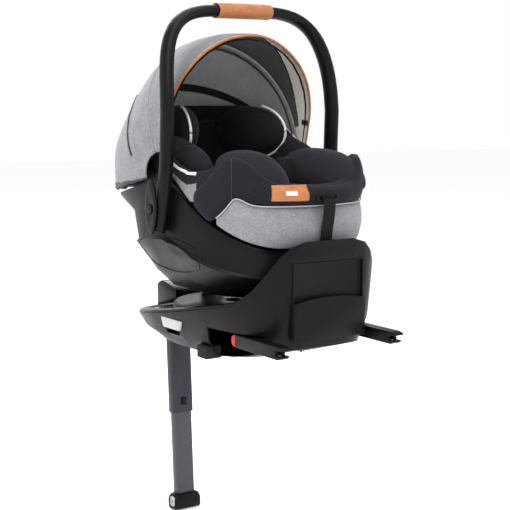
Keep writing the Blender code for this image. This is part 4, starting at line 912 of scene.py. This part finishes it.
def build_pads(mats):
    """Infant insert, headrest, harness pads and bolsters."""
    items = (("infant_insert_pad", "body_support_insert", 0.006, 0.010, "seat"),
             ("headrest_cushion", "headrest_pad", 0.005, 0.012, "headrest"),
             ("harness_pad_left", "chest_pad_left", 0.004, 0.005, "seat"),
             ("harness_pad_right", "chest_pad_right", 0.004, 0.005, "seat"),
             ("crotch_cushion", "crotch_pad", 0.004, 0.006, "seat"),
             ("seat_base_cushion", "seat_cushion", 0.006, 0.006, "seat"))
    for name, source, voxel, cap, body in items:
        pad = inflated(name, NODES[source], mats["knit"], voxel, 0.002, cap)
        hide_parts(source)
        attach(pad, body)
    for side, sign in (("left", -1), ("right", 1)):
        def lobe(p):
            lip = max(0.0, -p.y / 0.10)
            inner = max(0.0, -sign * p.x / 0.06)
            return Vector((p.x, p.y, p.z * (1 - 0.45 * lip ** 2) - 0.022 * lip ** 2 - 0.014 * inner ** 2))
        form = blob_mesh((sign * 0.090, -0.207, 0.387), (0.066, 0.104, 0.045), 2.5, (6.0, 0.0,
                sign * 8.0), lobe)
        bolster = inflated("thigh_bolster_" + side, form, mats["knit"], 0.0055, 0.002, 0.008)
        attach(bolster, "seat")
        form = blob_mesh((sign * 0.139, -0.010, 0.395), (0.026, 0.125, 0.060), 2.4, (12.0, 0.0, 0.0))
        bolster = inflated("side_bolster_" + side, form, mats["knit"], 0.0055, 0.002, 0.008)
        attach(bolster, "seat")
        form = blob_mesh((sign * 0.094, 0.078, 0.460), (0.034, 0.100, 0.060), 2.2, (0.0, sign * -8.0,
                sign * 14.0))
        wing = inflated("headrest_wing_" + side, form, mats["knit"], 0.0055, 0.002, 0.008)
        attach(wing, "headrest")
        points = []
        for k in range(41):
            a = math.radians(-78 + 150 * k / 40)
            reach = 0.078 - 0.099 * math.cos(a)
            points.append((sign * (0.094 + 0.004 - 0.25 * (reach - 0.078)), reach,
                           0.460 + 0.061 * math.sin(a)))
        piping = tube("headrest_piping_" + side, points, 0.0028, mats["piping"])
        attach(piping, "headrest")


# ---------------------------------------------------------------- grip, hub and base details
def build_grip_stitching(mats):
    low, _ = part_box("leather_grip")
    stitches = []
    count = 34
    for k in range(count):
        x0 = -0.058 + 0.116 * k / count
        x1 = x0 + 0.0021
        stitches.append(((x0, -0.0545 + 0.006, low[2] + 0.0065), (x1, -0.0545 + 0.006, low[2] + 0.0065)))
    sew("grip_stitching", stitches, 0.0005, mats["thread_dark"], "handle")


def soft_edges(obj, width=0.0022, angle=32.0):
    """Moulded look: rounded corners and shading that breaks only at real edges."""
    weld = obj.modifiers.new("weld", "WELD")
    weld.merge_threshold = 0.00002
    clean = obj.modifiers.new("flat", "NODES")
    clean.node_group = bpy.data.node_groups.get("drop_normals") or plain_group()
    edge = obj.modifiers.new("rounded", "BEVEL")
    edge.width = width
    edge.segments = 3
    edge.harden_normals = False
    edge.limit_method = "ANGLE"
    edge.angle_limit = math.radians(angle)
    edge.use_clamp_overlap = True
    group = bpy.data.node_groups.get("smooth_by_angle") or smoothing_group()
    smooth = obj.modifiers.new("smooth", "NODES")
    smooth.node_group = group


def plain_group():
    """Drops imported normals so that shading follows the rounded edges."""
    group, start, stop = empty_group("drop_normals")
    drop = group.nodes.new("GeometryNodeRemoveAttribute")
    drop.inputs["Name"].default_value = "custom_normal"
    group.links.new(start.outputs[0], drop.inputs["Geometry"])
    group.links.new(drop.outputs[0], stop.inputs[0])
    return group


def empty_group(name):
    group = bpy.data.node_groups.new(name, "GeometryNodeTree")
    group.interface.new_socket("Geometry", in_out="INPUT", socket_type="NodeSocketGeometry")
    group.interface.new_socket("Geometry", in_out="OUTPUT", socket_type="NodeSocketGeometry")
    start = group.nodes.new("NodeGroupInput")
    stop = group.nodes.new("NodeGroupOutput")
    return group, start, stop


def smoothing_group():
    group, start, stop = empty_group("smooth_by_angle")
    faces = group.nodes.new("GeometryNodeSetShadeSmooth")
    edges = group.nodes.new("GeometryNodeSetShadeSmooth")
    edges.domain = "EDGE"
    angle = group.nodes.new("GeometryNodeInputMeshEdgeAngle")
    flat = group.nodes.new("ShaderNodeMath")
    flat.operation = "LESS_THAN"
    flat.inputs[1].default_value = math.radians(38.0)
    group.links.new(angle.outputs["Unsigned Angle"], flat.inputs[0])
    group.links.new(flat.outputs[0], edges.inputs["Shade Smooth"])
    group.links.new(start.outputs[0], faces.inputs["Geometry"])
    group.links.new(faces.outputs[0], edges.inputs["Geometry"])
    group.links.new(edges.outputs[0], stop.inputs[0])
    return group


def paint(names, mat, width=0.0016):
    for name in names:
        obj = NODES[name]
        obj.data.materials.clear()
        obj.data.materials.append(mat)
        soft_edges(obj, width)


def build_foot_insert(mats):
    """Pale indicator let into the end of the load leg's foot."""
    low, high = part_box("leg_foot")
    y, z = (low[1] + high[1]) / 2 - 0.006, (low[2] + high[2]) / 2
    ring = []
    for k in range(24):
        a = 2 * math.pi * k / 24
        ring.append((y + 0.009 * power(math.cos(a), 0.5), z + 0.012 * power(math.sin(a), 0.5)))
    outer = [[(low[0] - 0.0006, y + (b - y) * t, z + (c - z) * t) for b,
              c in ring + ring[:1]] for t in (0.2, 0.8, 1.0)]
    inner = [[(low[0] + 0.0020, b, c) for _, b, c in row] for row in outer]
    insert = solid_grid("foot_indicator", outer, inner, [mats["grey"]])
    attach(insert, "leg_lower")


def build_carrier_dish(mats):
    """Oval ridge round the dished flank of the carrier."""
    shell = NODES["carrier_shell"]
    place = shell.matrix_world.inverted()
    turn = place.to_3x3()
    for side, sign in (("left", -1), ("right", 1)):
        points = []
        for k in range(72):
            a = 2 * math.pi * k / 72
            y = DISH_Y + DISH_LENGTH * math.cos(a)
            z = DISH_Z + DISH_HEIGHT * math.sin(a) + DISH_SLOPE * math.cos(a)
            hit, spot, _, _ = shell.ray_cast(place @ Vector((sign * 1.0, y, z)), turn @ Vector((-sign, 0,
                    0)))
            if hit:
                points.append(shell.matrix_world @ spot)
        if len(points) < 60:
            continue
        after = points[1:] + points[:1]
        smooth = [(points[k - 1] + points[k] + after[k]) / 3 for k in range(len(points))]
        ridge = tube("carrier_dish_" + side, smooth, 0.0016, mats["gloss"], 6, closed=True)
        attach(ridge, "carrier")


def build():
    mats = {
        "heather": woven("heather_grey", (0.085, 0.088, 0.095), (0.33, 0.34, 0.355), 0.17),
        "lining": lining_material(),
        "knit": knit("charcoal_knit", (0.0095, 0.0088, 0.0112)),
        "leather": hide("tan_leather", (0.42, 0.145, 0.042)),
        "piping": woven("pale_piping", (0.62, 0.62, 0.64), (0.86, 0.86, 0.88), 0.3),
        "thread": woven("grey_thread", (0.16, 0.16, 0.17), (0.34, 0.34, 0.35), 0.3),
        "thread_light": woven("light_thread", (0.30, 0.31, 0.32), (0.50, 0.51, 0.52), 0.3),
        "thread_dark": woven("dark_thread", (0.02, 0.02, 0.022), (0.05, 0.05, 0.055), 0.3),
        "thread_tan": woven("tan_thread", (0.60, 0.32, 0.16), (0.80, 0.50, 0.30), 0.3),
        "binding": woven("black_binding", (0.008, 0.008, 0.009), (0.022, 0.022, 0.024), 0.3),
        "sleeve": woven("dark_sleeve", (0.016, 0.019, 0.018), (0.040, 0.046, 0.043), 0.3),
        "white": plastic("white_print", (0.80, 0.80, 0.80), 0.5, 0.1, 0.03),
        "black": plastic("satin_black", (0.0036, 0.0036, 0.0039), 0.40, 0.25),
        "gloss": plastic("semi_gloss_black", (0.0042, 0.0042, 0.0046), 0.22, 0.12, 0.05),
        "grey": plastic("light_grey_plastic", (0.42, 0.45, 0.42), 0.40, 0.1, 0.04),
        "red": plastic("red_plastic", (0.50, 0.02, 0.02), 0.35, 0.1, 0.04),
        "rubber": plastic("matt_rubber", (0.018, 0.018, 0.018), 0.78, 0.5, 0.06),
        "steel": metal("bright_steel", (0.58, 0.58, 0.59), 0.30),
        "leg_dark": metal("dark_anodised", (0.045, 0.042, 0.052), 0.42),
        "leg_grey": metal("grey_anodised", (0.075, 0.075, 0.082), 0.42),
        "webbing": webbing("black_webbing", (0.006, 0.006, 0.0065)),
    }
    build_stage()
    black = ("base_lower_shell", "storage_tray", "storage_pocket_panel", "leg_channel", "turntable_disc",
             "carrier_shell",
             "handle_tube", "canopy_front_bow", "seat_bucket", "buckle", "adjuster_housing",
             "recline_handle", "headrest_shell", "leg_button", "adjuster_button", "isofix_arm_left",
             "isofix_arm_right", "leg_foot")
    paint(black, mats["black"])
    paint(("canopy_middle_bow",), mats["sleeve"])
    paint(("base_upper_shell",), mats["gloss"], 0.0045)
    paint(("docking_bracket", "hub_cover_left", "hub_cover_right"), mats["gloss"])
    paint(("spin_button_left", "spin_button_right"), mats["grey"])
    paint(("handle_button_left", "handle_button_right"), mats["gloss"])
    paint(("isofix_release_left", "isofix_release_right", "buckle_button"), mats["red"])
    paint(("leg_hinge_pin", "bearing_ring", "release_lever", "docking_claw_fixed", "docking_claw_latch",
           "isofix_hook_left",
           "isofix_hook_right", "isofix_cross_tube", "dock_bar_foot", "dock_bar_head"), mats["steel"])
    paint(("side_pad_left", "side_pad_right", "leg_sole"), mats["rubber"])
    paint(("leg_outer_tube",), mats["leg_dark"])
    paint(("leg_inner_tube",), mats["leg_grey"])
    paint(("leather_grip",), mats["leather"])
    paint(("shoulder_strap_left", "shoulder_strap_right", "adjuster_strap"), mats["webbing"])
    build_canopy(mats)
    build_cover(mats)
    build_foot_end(mats)
    build_pads(mats)
    build_grip_stitching(mats)
    build_foot_insert(mats)
    build_carrier_dish(mats)


build()
